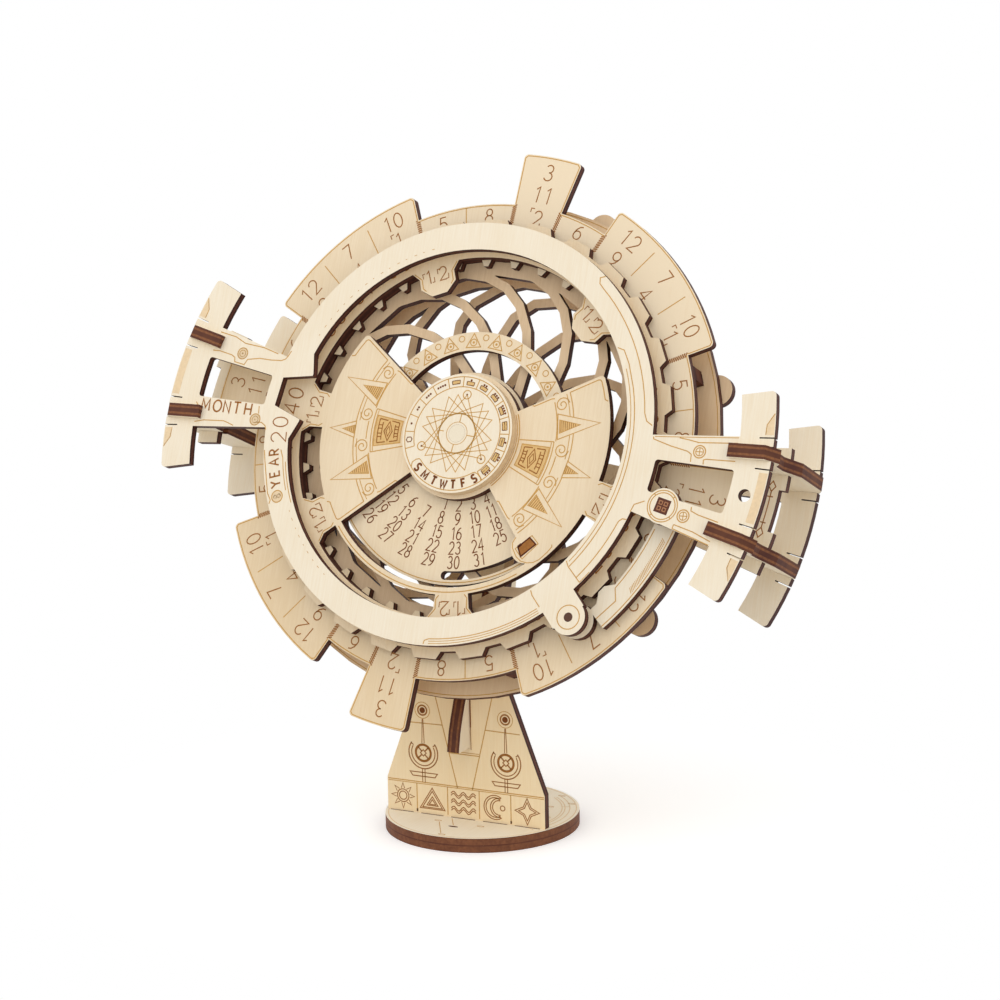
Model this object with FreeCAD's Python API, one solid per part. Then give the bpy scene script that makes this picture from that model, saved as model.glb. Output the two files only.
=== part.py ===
import FreeCAD
import Part
import math
import os

# Perpetual desk calendar cut from plywood. Lengths in mm, angles in degrees.
# World frame: origin under the middle of the base, +Z up, the dial faces -Y.
# Dial frame: local X is the dial's right, local Y its top, local Z points to the viewer.
# Clock angles run clockwise from the top of the dial as the viewer sees it.

# Sheet material and fits
ply = 3.0
base_ply = 2.5
corner_radius = 1.6
window_corner_radius = 1.1
layer_gap = 0.45
fit = 0.05
run_fit = 0.08
end_gap = 0.35
overrun = 1.0

# Pose of the dial
dial_tilt = 22.6
dial_y = -15.8
dial_z = 141.4
full_turn = 360.0
quarter_turn = 90.0
half_turn = 180.0
half_share = 0.5

# Layers of the dial, front faces counted from the face of the front ring
layer_pitch = ply + layer_gap
ring_w = 0.0
hub_disc_w = ring_w - layer_pitch
year_w = hub_disc_w - layer_pitch
month_w = year_w - layer_pitch
lattice_w = month_w - ply
back_plate_w = -23.7
grip_w = back_plate_w - ply
rear_frame_w = -45.0
mid_arc_w = -20.0

# Dial cells shared by the year plate and the month ring
cell_count = 28
cell = full_turn / cell_count
quadrants = 4
cells_per_quadrant = 7
tall_from = 0
wide_from = 2
wide_cells = 3
month_turn = 2.8

# Front ring with its two arms and its lug
ring_outer = 73.1
ring_inner = 63.6
arm_clock = 98.0
bar_half_spread = 10.2
window_half_spread = 4.05
window_in = 75.5
arm_root = 68.0
notch_out = 71.2
year_window_bump = 60.2
year_window_clock = -81.7
notch_half = 4.1
notch_mouth_half = 7.9
year_bump_half = 8.3
year_bump_root_half = 15.5
square_boss_r = 82.7
square_boss_clock = 104.3
boss_radius = 5.9
square_peg_side = 4.9
lug_r = 79.5
lug_clock = 138.0
lug_hole_radius = 1.55
lug_half_width = 6.4
washer_radius = 2.4
square_washer_side = 8.0

# Click arm between the front ring and the month ring
click_in = 79.4
click_out = 87.3
click_from = 106.0
click_to = 134.0
click_tip_clock = 128.57
click_tip_half = 2.0
click_tip_r = 76.95

# Ribs and arc plates that carry the arms front to back, set out from the arc plates' edge
arc_out = 114.9
arc_band = 11.6
arc_in = arc_out - arc_band
arc_slot_depth = 5.9
arc_slot_floor = arc_out - arc_slot_depth
arc_hole_radius = 2.1
arc_hole_inset = 6.3
arc_hole_r = arc_out - arc_hole_inset
window_wall = 0.1
window_out = arc_in - window_wall
fin_end_half = 17.8
slit_width = 0.45
slit_depth = 5.0
slit_offset = 2.6
rib_half_spread = 7.4
rib_thick = 4.6
rib_in = arc_in
rib_tongue = 2.8
rib_tongue_in = rib_in - rib_tongue
rib_front_w = 2.2
rib_back_w = -50.6
rib_front_inset = 1.7
rib_front_out = arc_out - rib_front_inset
rib_nose_proud = 1.5
rib_nose_out = arc_out + rib_nose_proud
rib_nose_w = -3.6
rib_waist_inset = 1.1
rib_waist_out = arc_out - rib_waist_inset
rib_waist_front_w = -8.0
rib_waist_back_w = -14.0
rib_belly_proud = 2.5
rib_belly_out = arc_out + rib_belly_proud
rib_belly_front_w = -22.0
rib_belly_back_w = -42.0
rib_tail_inset = 1.9
rib_tail_out = arc_out - rib_tail_inset
mid_inset = 1.3
mid_out = arc_out - mid_inset
mid_band = 8.0
mid_in = mid_out - mid_band
mid_waist_band = 4.6
mid_waist_inset = 2.2
mid_waist_out = mid_out - mid_waist_inset
mid_waist_in = mid_waist_out - mid_waist_band
mid_slot_depth = 4.0
mid_slot_floor = mid_out - mid_slot_depth
mid_half = 10.8
mid_waist_half = 3.6

# Year plate: teeth, numbers ring, leap tabs, sun mask with its fan window
year_ring_inner = 62.9
tooth_root = 73.9
tooth_tip = 76.5
tooth_root_half = 4.3
tooth_tip_half = 3.1
leap_first_cell = -7
leap_step = 5
leap_count = 6
leap_bridged = (0, 3, 4, 5)
tab_base_half = 8.8
tab_neck_half = 6.4
tab_neck_r = 59.8
tab_shoulder_half = 6.9
tab_shoulder_r = 56.0
tab_tip_half = 3.2
tab_tip_r = 52.3
mask_outer = 54.7
mask_hub = 22.0
rim_inner = 52.2
left_wing_from_cell = 18
left_wing_to_cell = 24
right_wing_from_cell = 5
right_wing_to_cell = 11
stop_lug_r = 47.5
stop_lug_clock = 139.9
stop_lug_radius = 5.4
stop_head_length = 4.7
stop_head_width = 2.7
stop_pin_length = 2.6
stop_pin_width = 2.4
hub_disc_radius = 20.6

# Month dial: month ring, date disk, two spiral lattices, back plate and grip ring
recess_outer = 83.2
wide_outer = 92.6
tall_outer = 101.4
month_inner = 63.3
bump_count = 36
bump_tip_r = 60.8
bump_tip_half = 0.8
bump_root_half = 1.7
bump_first = -2.9
disk_outer = 50.8
disk_from_cell = 8
disk_to_cell = 21
disk_hub = 23.0
arch_inner = 31.0
arch_outer = 37.4
slot_width = 3.0
slot_half_travel = 38.571
slot_end_margin = 1.1
spoke_count = 14
rim_flats_per_spoke = 4
spoke_width = 3.3
front_spoke = ((60.5, -13.0), (57.8, -3.4), (54.3, 4.8), (49.2, 12.4), (41.8, 20.8), (32.4, 31.2),
               (21.5, 44.0))
back_spoke = ((60.5, 34.0), (57.0, 22.2), (52.8, 11.8), (46.6, 4.4), (38.0, -1.2), (28.4, -7.0),
              (18.5, -14.6))
lattice_rim_in = 58.4
lattice_rim_out = 70.0
back_rim_in = 58.0
back_rim_out = 87.0
back_hub = 20.0
grip_in = 74.0
grip_out = 85.6
lobe_clocks = (21.0, 73.0, 129.0)
lobe_r = 85.6
lobe_radius = 5.3
post_count = 4
post_r = 80.7
post_first = 70.0
post_depth = 3.0
post_length = 5.0
post_tenon = 3.0

# Axle and collar
axle_radius = 3.05
collar_radius = 7.5

# Rear frame
rear_hub_radius = 14.0
bearing_boss_radius = 6.5
rear_tail = 57.0
rear_beam_half = 7.0
spine_slot_a = -26.0
spine_slot_b = -46.0
spine_slot_length = 10.0

# Stand
base_radius = 34.0
panel_y = 12.6
panel_foot_half = 30.7
panel_knee_z = 16.8
panel_top_z = 61.0
panel_top_half = 13.9
panel_tab_x = 20.0
panel_tab_half = 6.0
panel_slot_z = 30.8
spine_thick = 4.6
spine_profile = ((-20.6, 30.8), (-20.5, 31.7), (-19.1, 37.8), (-17.5, 42.2), (-15.1, 47.9))
spine_front_w = -38.5
spine_front_v = -78.0
spine_turn_w = -40.5
spine_shoulder_v = -66.4
spine_top_v = -15.5
spine_back_w = -58.0
spine_back_top_v = -19.0
spine_back_low_w = -63.0
spine_back_low_v = -62.0
spine_heel_y = 14.0
spine_heel_z = 42.0
spine_tab_y = 2.0
spine_tab_length = 12.0


# Points and placements
def clock_point(radius, clock, w=0.0):
    """Point of the dial frame at a radius and a clock angle."""
    angle = math.radians(clock)
    return FreeCAD.Vector(radius * math.sin(angle), radius * math.cos(angle), w)


def dial_placement():
    """Placement that carries the dial frame into the world frame."""
    turn = FreeCAD.Rotation(FreeCAD.Vector(1, 0, 0), quarter_turn - dial_tilt)
    return FreeCAD.Placement(FreeCAD.Vector(0, dial_y, dial_z), turn)


def dial_to_world(w, v):
    """World (y, z) of the dial frame point at depth w and height v on the middle plane."""
    tilt = math.radians(dial_tilt)
    y = dial_y - w * math.cos(tilt) + v * math.sin(tilt)
    z = dial_z + w * math.sin(tilt) + v * math.cos(tilt)
    return y, z


# Plates of the dial: front face at w, thickness backwards
def round_plate(radius, w, thick=ply, centre_r=0.0, clock=0.0):
    """Round plate whose front face lies at w."""
    return Part.makeCylinder(radius, thick, clock_point(centre_r, clock, w - thick))


def sector(r_in, r_out, clock_from, clock_to, w, thick=ply):
    """Ring sector between two radii and two clock angles, front face at w."""
    sweep = clock_to - clock_from
    up = FreeCAD.Vector(0, 0, 1)
    foot = FreeCAD.Vector(0, 0, w - thick)
    body = Part.makeCylinder(r_out, thick, foot, up, min(sweep, full_turn))
    if r_in > 0:
        bore = Part.makeCylinder(r_in, thick + overrun * 2, foot - up * overrun)
        body = body.cut(bore)
    body.rotate(FreeCAD.Vector(0, 0, 0), up, quarter_turn - clock_to)
    return body


def annulus(r_in, r_out, w, thick=ply):
    """Full ring with its front face at w."""
    return sector(r_in, r_out, 0.0, full_turn, w, thick)


def flat_plate(points, w, thick=ply):
    """Straight-edged plate through dial frame (x, y) points, front face at w."""
    corners = [FreeCAD.Vector(x, y, w - thick) for x, y in points]
    outline = Part.makePolygon(corners + corners[:1])
    return Part.Face(outline).extrude(FreeCAD.Vector(0, 0, thick))


def polar_plate(points, w, thick=ply):
    """Straight-edged plate through (radius, clock) points, front face at w."""
    flat = [clock_point(radius, clock) for radius, clock in points]
    return flat_plate([(p.x, p.y) for p in flat], w, thick)


def radial_box(r_mid, clock, along, across, w, thick):
    """Box centred at (r_mid, clock): along the radius and across it, front face at w."""
    box = Part.makeBox(along, across, thick, FreeCAD.Vector(-along / 2, -across / 2, w - thick))
    box.rotate(FreeCAD.Vector(0, 0, 0), FreeCAD.Vector(0, 0, 1), quarter_turn - clock)
    box.translate(clock_point(r_mid, clock))
    return box


def join(shapes):
    """One solid from touching shapes."""
    first = shapes[0]
    return first.fuse(shapes[1:]).removeSplitter()


def rounded(plate, radius, spots):
    """Plate of the dial with its upright edges at the given (radius, clock) spots rounded."""
    wanted = [clock_point(spot_r, spot_clock) for spot_r, spot_clock in spots]
    found = []
    for edge in plate.Edges:
        foot = edge.Vertexes[0].Point
        head = edge.Vertexes[-1].Point
        flat = FreeCAD.Vector(foot.x, foot.y, 0)
        upright = (head - foot).Length > fit and abs(head.z - foot.z) > (head - foot).Length - fit
        if upright and any((flat - spot).Length < fit for spot in wanted):
            found.append(edge)
    return plate.makeFillet(radius, found)


def placed(shape):
    """Copy of a dial frame shape in the world frame."""
    moved = shape.copy()
    moved.Placement = dial_placement().multiply(moved.Placement)
    return moved


# Frame pieces that lie in the dial frame
def arm_clocks():
    """Clock angles of the right and the left arm."""
    return {"right": arm_clock, "left": arm_clock + half_turn}


def arm_plate(clock, w):
    """One arm around its window, with the arc plate across its end, slotted for the ribs."""
    arm = sector(arm_root, arc_in + overrun, clock - bar_half_spread, clock + bar_half_spread, w)
    body = join([arm, sector(arc_in, arc_out, clock - fin_end_half, clock + fin_end_half, w)])
    window = sector(window_in, window_out, clock - window_half_spread, clock + window_half_spread,
                    w + overrun, ply + overrun * 2)
    ends = (clock - fin_end_half, clock + fin_end_half)
    body = rounded(body, corner_radius, [(arc_out, end) for end in ends])
    body = body.cut(window)
    sides = (clock - window_half_spread, clock + window_half_spread)
    inner = [(r, side) for r in (window_in, window_out) for side in sides]
    body = rounded(body, window_corner_radius, inner)
    return body.cut(rib_slots(clock, arc_slot_floor, arc_out, w) + clip_slits(clock, w))


def year_window_cut():
    """Cutter of the year window, a notch that opens towards the dial's middle."""
    mouth = year_window_bump - overrun
    corners = ((mouth, year_window_clock - notch_mouth_half), (notch_out, year_window_clock - notch_half),
               (notch_out, year_window_clock + notch_half), (mouth, year_window_clock + notch_mouth_half))
    return polar_plate(corners, ring_w + overrun, ply + overrun * 2)


def make_click_arm():
    """Curved spring arm beside the teeth of the year plate, held by the two pegs."""
    band = sector(click_in, click_out, click_from, click_to, year_w)
    top = radial_box(square_boss_r, square_boss_clock, square_washer_side, square_washer_side, year_w, ply)
    foot = round_plate(boss_radius, year_w, ply, lug_r, lug_clock)
    tip = polar_plate(((click_in + overrun, click_tip_clock - click_tip_half * 2),
                       (click_tip_r, click_tip_clock - click_tip_half / 2),
                       (click_tip_r, click_tip_clock + click_tip_half / 2),
                       (click_in + overrun, click_tip_clock + click_tip_half * 2)), year_w)
    body = join([band, top, foot, tip])
    deep = ply + overrun * 2
    clear = Part.makeCylinder(click_tip_r, deep, FreeCAD.Vector(0, 0, year_w - ply - overrun))
    hole = round_plate(lug_hole_radius, year_w + overrun, deep, lug_r, lug_clock)
    square = radial_box(square_boss_r, square_boss_clock, square_peg_side, square_peg_side,
                        year_w + overrun, deep)
    return body.cut([clear, hole, square])


def make_lug_peg():
    """Round peg from the lug into the click arm."""
    length = ring_w - year_w + ply
    return round_plate(lug_hole_radius - fit, ring_w, length, lug_r, lug_clock)


def make_square_peg():
    """Square peg from the right arm's boss into the click arm."""
    length = ring_w - year_w + ply
    side = square_peg_side - fit * 2
    return radial_box(square_boss_r, square_boss_clock, side, side, ring_w, length)


def make_lug_washer():
    """Spacer on the round peg between the lug and the click arm."""
    length = ring_w - ply - year_w
    ring = round_plate(washer_radius, ring_w - ply, length, lug_r, lug_clock)
    bore = round_plate(lug_hole_radius, ring_w, length + ply * 2, lug_r, lug_clock)
    return ring.cut(bore)


def make_square_washer():
    """Square spacer on the square peg between the arm and the click arm."""
    length = ring_w - ply - year_w
    bore = radial_box(square_boss_r, square_boss_clock, square_peg_side, square_peg_side,
                      ring_w, length + ply * 2)
    plate = radial_box(square_boss_r, square_boss_clock, square_washer_side, square_washer_side,
                       ring_w - ply, length)
    return plate.cut(bore)


def rib_clocks(clock):
    """Clock angles of the two ribs of one arm."""
    return clock - rib_half_spread, clock + rib_half_spread


def rib_notch(r_floor, w):
    """Cutter for the half of a rib joint that one arc plate sits in, in the rib's own plane."""
    return Part.makeBox(r_floor - rib_tongue_in + overrun, rib_thick + overrun * 2, ply + fit * 2,
                        FreeCAD.Vector(rib_tongue_in - overrun, -rib_thick / 2 - overrun, w - ply - fit))


def make_rib(clock):
    """Rib that stands square to the dial along one radius and carries the arc plates."""
    outline = ((rib_tongue_in, rib_front_w), (rib_front_out, rib_front_w), (rib_nose_out, rib_nose_w),
               (rib_waist_out, rib_waist_front_w), (rib_waist_out, rib_waist_back_w),
               (rib_belly_out, rib_belly_front_w), (rib_belly_out, rib_belly_back_w),
               (rib_tail_out, rib_back_w), (rib_tongue_in, rib_back_w),
               (rib_tongue_in, rear_frame_w - ply - fit), (rib_in, rear_frame_w - ply - fit),
               (rib_in, ring_w + fit), (rib_tongue_in, ring_w + fit))
    corners = [FreeCAD.Vector(r, -rib_thick / 2, w) for r, w in outline]
    plate = Part.Face(Part.makePolygon(corners + corners[:1])).extrude(FreeCAD.Vector(0, rib_thick, 0))
    plate = plate.cut([rib_notch(arc_slot_floor, ring_w), rib_notch(mid_slot_floor, mid_arc_w),
                       rib_notch(arc_slot_floor, rear_frame_w)])
    plate.rotate(FreeCAD.Vector(0, 0, 0), FreeCAD.Vector(0, 0, 1), quarter_turn - clock)
    return plate


def rib_slots(clock, floor, outer, w):
    """Cutters of the slots that hold the two ribs of an arm, open at the outer edge."""
    reach = outer + overrun - floor
    width = rib_thick + fit * 2
    return [radial_box(floor + reach / 2, rib, reach, width, w + overrun, ply + overrun * 2)
            for rib in rib_clocks(clock)]


def clip_slits(clock, w):
    """Cutters of the thin slits that make spring clips on both sides of each rib slot."""
    slits = []
    reach = slit_depth + overrun
    for rib in rib_clocks(clock):
        for side in (-slit_offset, slit_offset):
            slits.append(radial_box(arc_out + overrun - reach / 2, rib + side, reach, slit_width,
                                    w + overrun, ply + overrun * 2))
    return slits


def make_mid_arc(clock):
    """Middle tie between the ribs, broad at both ends and slim between them."""
    body = sector(mid_in, mid_out, clock - mid_half, clock + mid_half, mid_arc_w)
    deep = ply + overrun * 2
    inner = sector(mid_in - overrun, mid_waist_in, clock - mid_waist_half, clock + mid_waist_half,
                   mid_arc_w + overrun, deep)
    outer = sector(mid_waist_out, mid_out + overrun, clock - mid_waist_half, clock + mid_waist_half,
                   mid_arc_w + overrun, deep)
    return body.cut([inner, outer] + rib_slots(clock, mid_slot_floor, mid_out, mid_arc_w))


def make_front_ring():
    """Front ring in one piece with both arms, the year window's frame and the lug."""
    bump = polar_plate(((ring_inner + overrun, year_window_clock - year_bump_root_half),
                        (year_window_bump, year_window_clock - year_bump_half),
                        (year_window_bump, year_window_clock + year_bump_half),
                        (ring_inner + overrun, year_window_clock + year_bump_root_half),
                        (ring_outer - overrun, year_window_clock)), ring_w)
    pieces = [annulus(ring_inner, ring_outer, ring_w), bump]
    pieces += [arm_plate(clock, ring_w) for clock in arm_clocks().values()]
    pieces.append(round_plate(boss_radius, ring_w, ply, square_boss_r, square_boss_clock))
    pieces.append(round_plate(boss_radius, ring_w, ply, lug_r, lug_clock))
    lug_root = ring_inner + overrun
    lug_middle = (lug_root + lug_r) / 2
    pieces.append(radial_box(lug_middle, lug_clock, lug_r - lug_root, lug_half_width * 2, ring_w, ply))
    deep = ply + overrun * 2
    cutters = [year_window_cut()]
    cutters.append(round_plate(lug_hole_radius, ring_w + overrun, deep, lug_r, lug_clock))
    cutters.append(radial_box(square_boss_r, square_boss_clock, square_peg_side, square_peg_side,
                              ring_w + overrun, deep))
    cutters.append(round_plate(arc_hole_radius, ring_w + overrun, deep, arc_hole_r, arm_clock))
    return join(pieces).cut(cutters)


def make_rear_frame():
    """Rear frame: hub with its bearing boss, cross beams, tail for the spine and both rear arms."""
    boss_front = back_plate_w - ply - layer_gap
    boss_length = boss_front - rear_frame_w + ply
    pieces = [round_plate(rear_hub_radius, rear_frame_w)]
    pieces.append(round_plate(bearing_boss_radius, boss_front, boss_length))
    pieces.append(flat_plate(((-rear_beam_half, 0), (-rear_beam_half, -rear_tail),
                              (rear_beam_half, -rear_tail), (rear_beam_half, 0)), rear_frame_w))
    for clock in arm_clocks().values():
        pieces.append(radial_box(ring_outer / 2, clock, ring_outer, rear_beam_half * 2, rear_frame_w, ply))
        pieces.append(arm_plate(clock, rear_frame_w))
    deep = ply + overrun * 2
    cutters = [round_plate(axle_radius + run_fit, boss_front + overrun, boss_length + overrun * 2)]
    for v in (spine_slot_a, spine_slot_b):
        cutters.append(Part.makeBox(spine_thick + fit * 2, spine_slot_length + fit * 2, deep,
                                    FreeCAD.Vector(-spine_thick / 2 - fit, v - spine_slot_length / 2 - fit,
                                                   rear_frame_w - ply - overrun)))
    return join(pieces).cut(cutters)


# Year dial
def leap_tab(index):
    """One inward leap tab of the year plate; a bridged one runs on to the mask."""
    clock = (leap_first_cell + leap_step * index + half_share) * cell
    root = year_ring_inner + overrun
    if index in leap_bridged:
        tip = mask_outer - overrun
        sides = ((root, tab_base_half), (tab_neck_r, tab_neck_half), (tip, tab_neck_half))
    else:
        sides = ((root, tab_base_half), (tab_neck_r, tab_neck_half), (tab_shoulder_r, tab_shoulder_half),
                 (tab_tip_r, tab_tip_half))
    right = [(r, clock + half) for r, half in sides]
    left = [(r, clock - half) for r, half in reversed(sides)]
    return polar_plate(right + left, year_w)


def toothed_disc():
    """Disc of the year plate with its outer teeth and straight stretches between them."""
    edge = []
    for index in range(cell_count):
        clock = cell * index
        edge += [(tooth_root, clock - tooth_root_half), (tooth_tip, clock - tooth_tip_half),
                 (tooth_tip, clock + tooth_tip_half), (tooth_root, clock + tooth_root_half)]
    return polar_plate(edge, year_w)


def stop_box(length, width, w, thick):
    """Box of the stop pin at the mask's round lug."""
    return radial_box(stop_lug_r, stop_lug_clock, width, length, w, thick)


def make_year_plate():
    """Year plate: toothed numbers ring, leap tabs, sun mask, fan window rim and stop lug."""
    inside = round_plate(year_ring_inner, year_w + overrun, ply + overrun * 2)
    pieces = [toothed_disc().cut(inside)]
    pieces += [leap_tab(index) for index in range(leap_count)]
    pieces.append(round_plate(mask_hub, year_w))
    pieces.append(sector(mask_hub - overrun, mask_outer, left_wing_from_cell * cell,
                         left_wing_to_cell * cell, year_w))
    pieces.append(sector(mask_hub - overrun, mask_outer, right_wing_from_cell * cell,
                         right_wing_to_cell * cell, year_w))
    pieces.append(sector(rim_inner, mask_outer, right_wing_to_cell * cell - overrun,
                         left_wing_from_cell * cell + overrun, year_w))
    pieces.append(round_plate(stop_lug_radius, year_w, ply, stop_lug_r, stop_lug_clock))
    deep = ply + overrun * 2
    bore = round_plate(axle_radius + fit, year_w + overrun, deep)
    pin = stop_box(stop_head_length + fit * 2, stop_head_width + fit * 2, year_w + overrun, deep)
    wing_corners = [(mask_outer, left_wing_to_cell * cell), (mask_outer, right_wing_from_cell * cell)]
    return rounded(join(pieces), corner_radius, wing_corners).cut([bore, pin])


def make_hub_disc():
    """Weekday disc on the front of the sun mask."""
    bore = round_plate(axle_radius + fit, hub_disc_w + overrun, layer_pitch + overrun * 2)
    return round_plate(hub_disc_radius, hub_disc_w, layer_pitch).cut(bore)


def make_stop_pin():
    """Stop pin: head in the mask's lug, pin in the arc slot of the date disk."""
    head = stop_box(stop_head_length, stop_head_width, year_w, ply)
    reach = layer_gap + ply - end_gap
    pin = stop_box(stop_pin_length, stop_pin_width, year_w - ply, reach)
    return join([head, pin])


def make_axle():
    """Axle through the whole dial, turning with the year plate."""
    length = hub_disc_w - rear_frame_w + ply * 2 + layer_gap + overrun
    return round_plate(axle_radius, hub_disc_w, length)


def make_collar():
    """Collar on the end of the axle behind the rear frame."""
    front = rear_frame_w - ply - layer_gap
    bore = round_plate(axle_radius + fit, front + overrun, ply + overrun * 2)
    return flat_sided(collar_radius, front, ply).cut(bore)


# Month dial
def month_tabs():
    """(outer radius, first clock angle, last clock angle) of the tall and the wide tabs."""
    tabs = []
    for quadrant in range(quadrants):
        start = month_turn + quadrant * cells_per_quadrant * cell
        tall = start + tall_from * cell
        wide = start + wide_from * cell
        tabs.append((tall_outer, tall, tall + cell))
        tabs.append((wide_outer, wide, wide + wide_cells * cell))
    return tabs


def make_month_ring():
    """Month ring with its tabs outside and its blunt click teeth inside."""
    edge = []
    for index in range(bump_count):
        clock = bump_first + full_turn / bump_count * index
        edge += [(month_inner, clock - bump_root_half), (bump_tip_r, clock - bump_tip_half),
                 (bump_tip_r, clock + bump_tip_half), (month_inner, clock + bump_root_half)]
    toothed_hole = polar_plate(edge, month_w + overrun, ply + overrun * 2)
    tabs = [sector(recess_outer - overrun, outer, first, last, month_w)
            for outer, first, last in month_tabs()]
    body = join([round_plate(recess_outer, month_w)] + tabs)
    tab_corners = [(outer, clock) for outer, first, last in month_tabs() for clock in (first, last)]
    return rounded(body, corner_radius, tab_corners).cut(toothed_hole)


def arc_slot():
    """Cutter of the arc slot that the stop pin runs in."""
    pin_half = math.degrees(stop_pin_length / 2 / stop_lug_r)
    end_half = math.degrees(slot_width / 2 / stop_lug_r)
    half = slot_half_travel + pin_half + slot_end_margin - end_half
    inner = stop_lug_r - slot_width / 2
    outer = stop_lug_r + slot_width / 2
    front = month_w + overrun
    deep = ply + overrun * 2
    cutters = [sector(inner, outer, stop_lug_clock - half, stop_lug_clock + half, front, deep)]
    for side in (-half, half):
        cutters.append(round_plate(slot_width / 2, front, deep, stop_lug_r, stop_lug_clock + side))
    return cutters


def make_date_disk():
    """Date disk: half sector with the thirteen date columns and a slim arch over the rest."""
    body = join([sector(0.0, disk_outer, disk_from_cell * cell, disk_to_cell * cell, month_w),
                 annulus(arch_inner, arch_outer, month_w), round_plate(disk_hub, month_w)])
    bore = round_plate(axle_radius + run_fit, month_w + overrun, ply + overrun * 2)
    return body.cut(arc_slot() + [bore])


def spoke(course, turn, w):
    """Curved spoke along (radius, clock) points, turned as a whole by a clock angle."""
    middle = [clock_point(radius, clock + turn) for radius, clock in course]
    left, right = [], []
    for index, point in enumerate(middle):
        before = middle[max(index - 1, 0)]
        after = middle[min(index + 1, len(middle) - 1)]
        along = (after - before).normalize()
        side = FreeCAD.Vector(-along.y, along.x, 0) * (spoke_width / 2)
        left.append(point + side)
        right.append(point - side)
    outline = left + right[::-1]
    return flat_plate([(p.x, p.y) for p in outline], w)


def flat_sided(radius, w, thick, flats_per_spoke=2):
    """Plate with the same number of flat sides for every spoke."""
    sides = spoke_count * flats_per_spoke
    return polar_plate([(radius, full_turn / sides * index) for index in range(sides)], w, thick)


def lattice(course, rim, rim_in, hub, w):
    """Spiral lattice plate: rim, hub and curved spokes around a running bore."""
    step = full_turn / spoke_count
    open_rim = rim.cut(flat_sided(rim_in, w + overrun, ply + overrun * 2))
    spokes = [spoke(course, step * index, w) for index in range(spoke_count)]
    body = join([open_rim, flat_sided(hub, w, ply)] + spokes)
    bore = round_plate(axle_radius + run_fit, w + overrun, ply + overrun * 2)
    return body.cut(bore)


def make_front_lattice():
    """Front spiral lattice behind the month ring and the date disk."""
    rim = flat_sided(lattice_rim_out, lattice_w, ply)
    return lattice(front_spoke, rim, lattice_rim_in, disk_hub, lattice_w)


def post_clocks():
    """Clock angles of the posts between the month ring and the back plate."""
    step = full_turn / post_count
    return [post_first + step * index for index in range(post_count)]


def make_back_plate():
    """Back plate: broad ring and a spiral lattice of the other hand."""
    rim = flat_sided(back_rim_out, back_plate_w, ply, rim_flats_per_spoke)
    body = lattice(back_spoke, rim, back_rim_in, back_hub, back_plate_w)
    slots = [radial_box(post_r, clock, post_depth + fit * 2, post_tenon + fit * 2,
                        back_plate_w + overrun, ply + overrun * 2) for clock in post_clocks()]
    return body.cut(slots)


def make_post(index):
    """Post between the month ring and the back plate, with a tenon at the back."""
    clock = post_clocks()[index]
    length = month_w - ply - back_plate_w
    body = radial_box(post_r, clock, post_depth, post_length, month_w - ply, length)
    tenon = radial_box(post_r, clock, post_depth, post_tenon, back_plate_w, ply)
    return join([body, tenon])


def make_grip_ring():
    """Ring behind the back plate with finger lobes on both sides, which turn the month dial."""
    lobes = [round_plate(lobe_radius, grip_w, ply, lobe_r, clock * side)
             for side in (1, -1) for clock in lobe_clocks]
    inside = flat_sided(grip_in, grip_w + overrun, ply + overrun * 2)
    rim = flat_sided(grip_out, grip_w, ply, rim_flats_per_spoke)
    return join([rim] + lobes).cut(inside)


# Stand, built in the world frame
def panel_tabs(slack):
    """Foot tabs of the panel, or their slots when slack is given."""
    return [Part.makeBox(panel_tab_half * 2 + slack * 2, ply + slack * 2, base_ply * 2,
                         FreeCAD.Vector(side * panel_tab_x - panel_tab_half - slack, -panel_y - slack, 0))
            for side in (-1, 1)]


def spine_tab(slack):
    """Foot tab of the spine, or its slot when slack is given."""
    return Part.makeBox(spine_thick + slack * 2, spine_tab_length + slack * 2, base_ply * 2,
                        FreeCAD.Vector(-spine_thick / 2 - slack,
                                       spine_tab_y - spine_tab_length / 2 - slack, 0))


def make_base_disc(bottom):
    """One base disc with the slots of the foot tabs."""
    disc = Part.makeCylinder(base_radius, base_ply, FreeCAD.Vector(0, 0, bottom))
    return disc.cut(panel_tabs(fit) + [spine_tab(fit)])


def make_panel():
    """Stand panel with foot tabs and a slot for the spine, open at the top."""
    foot_z = base_ply * 2
    outline = ((-panel_foot_half, foot_z), (panel_foot_half, foot_z),
               (panel_foot_half, panel_knee_z), (panel_top_half, panel_top_z),
               (-panel_top_half, panel_top_z), (-panel_foot_half, panel_knee_z))
    corners = [FreeCAD.Vector(x, -panel_y, z) for x, z in outline]
    plate = Part.Face(Part.makePolygon(corners + corners[:1])).extrude(FreeCAD.Vector(0, ply, 0))
    plate = join([plate] + panel_tabs(0.0))
    slot = Part.makeBox(spine_thick + fit * 2, ply + overrun * 2, panel_top_z - panel_slot_z + overrun,
                        FreeCAD.Vector(-spine_thick / 2 - fit, -panel_y - overrun, panel_slot_z))
    return plate.cut(slot)


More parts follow.
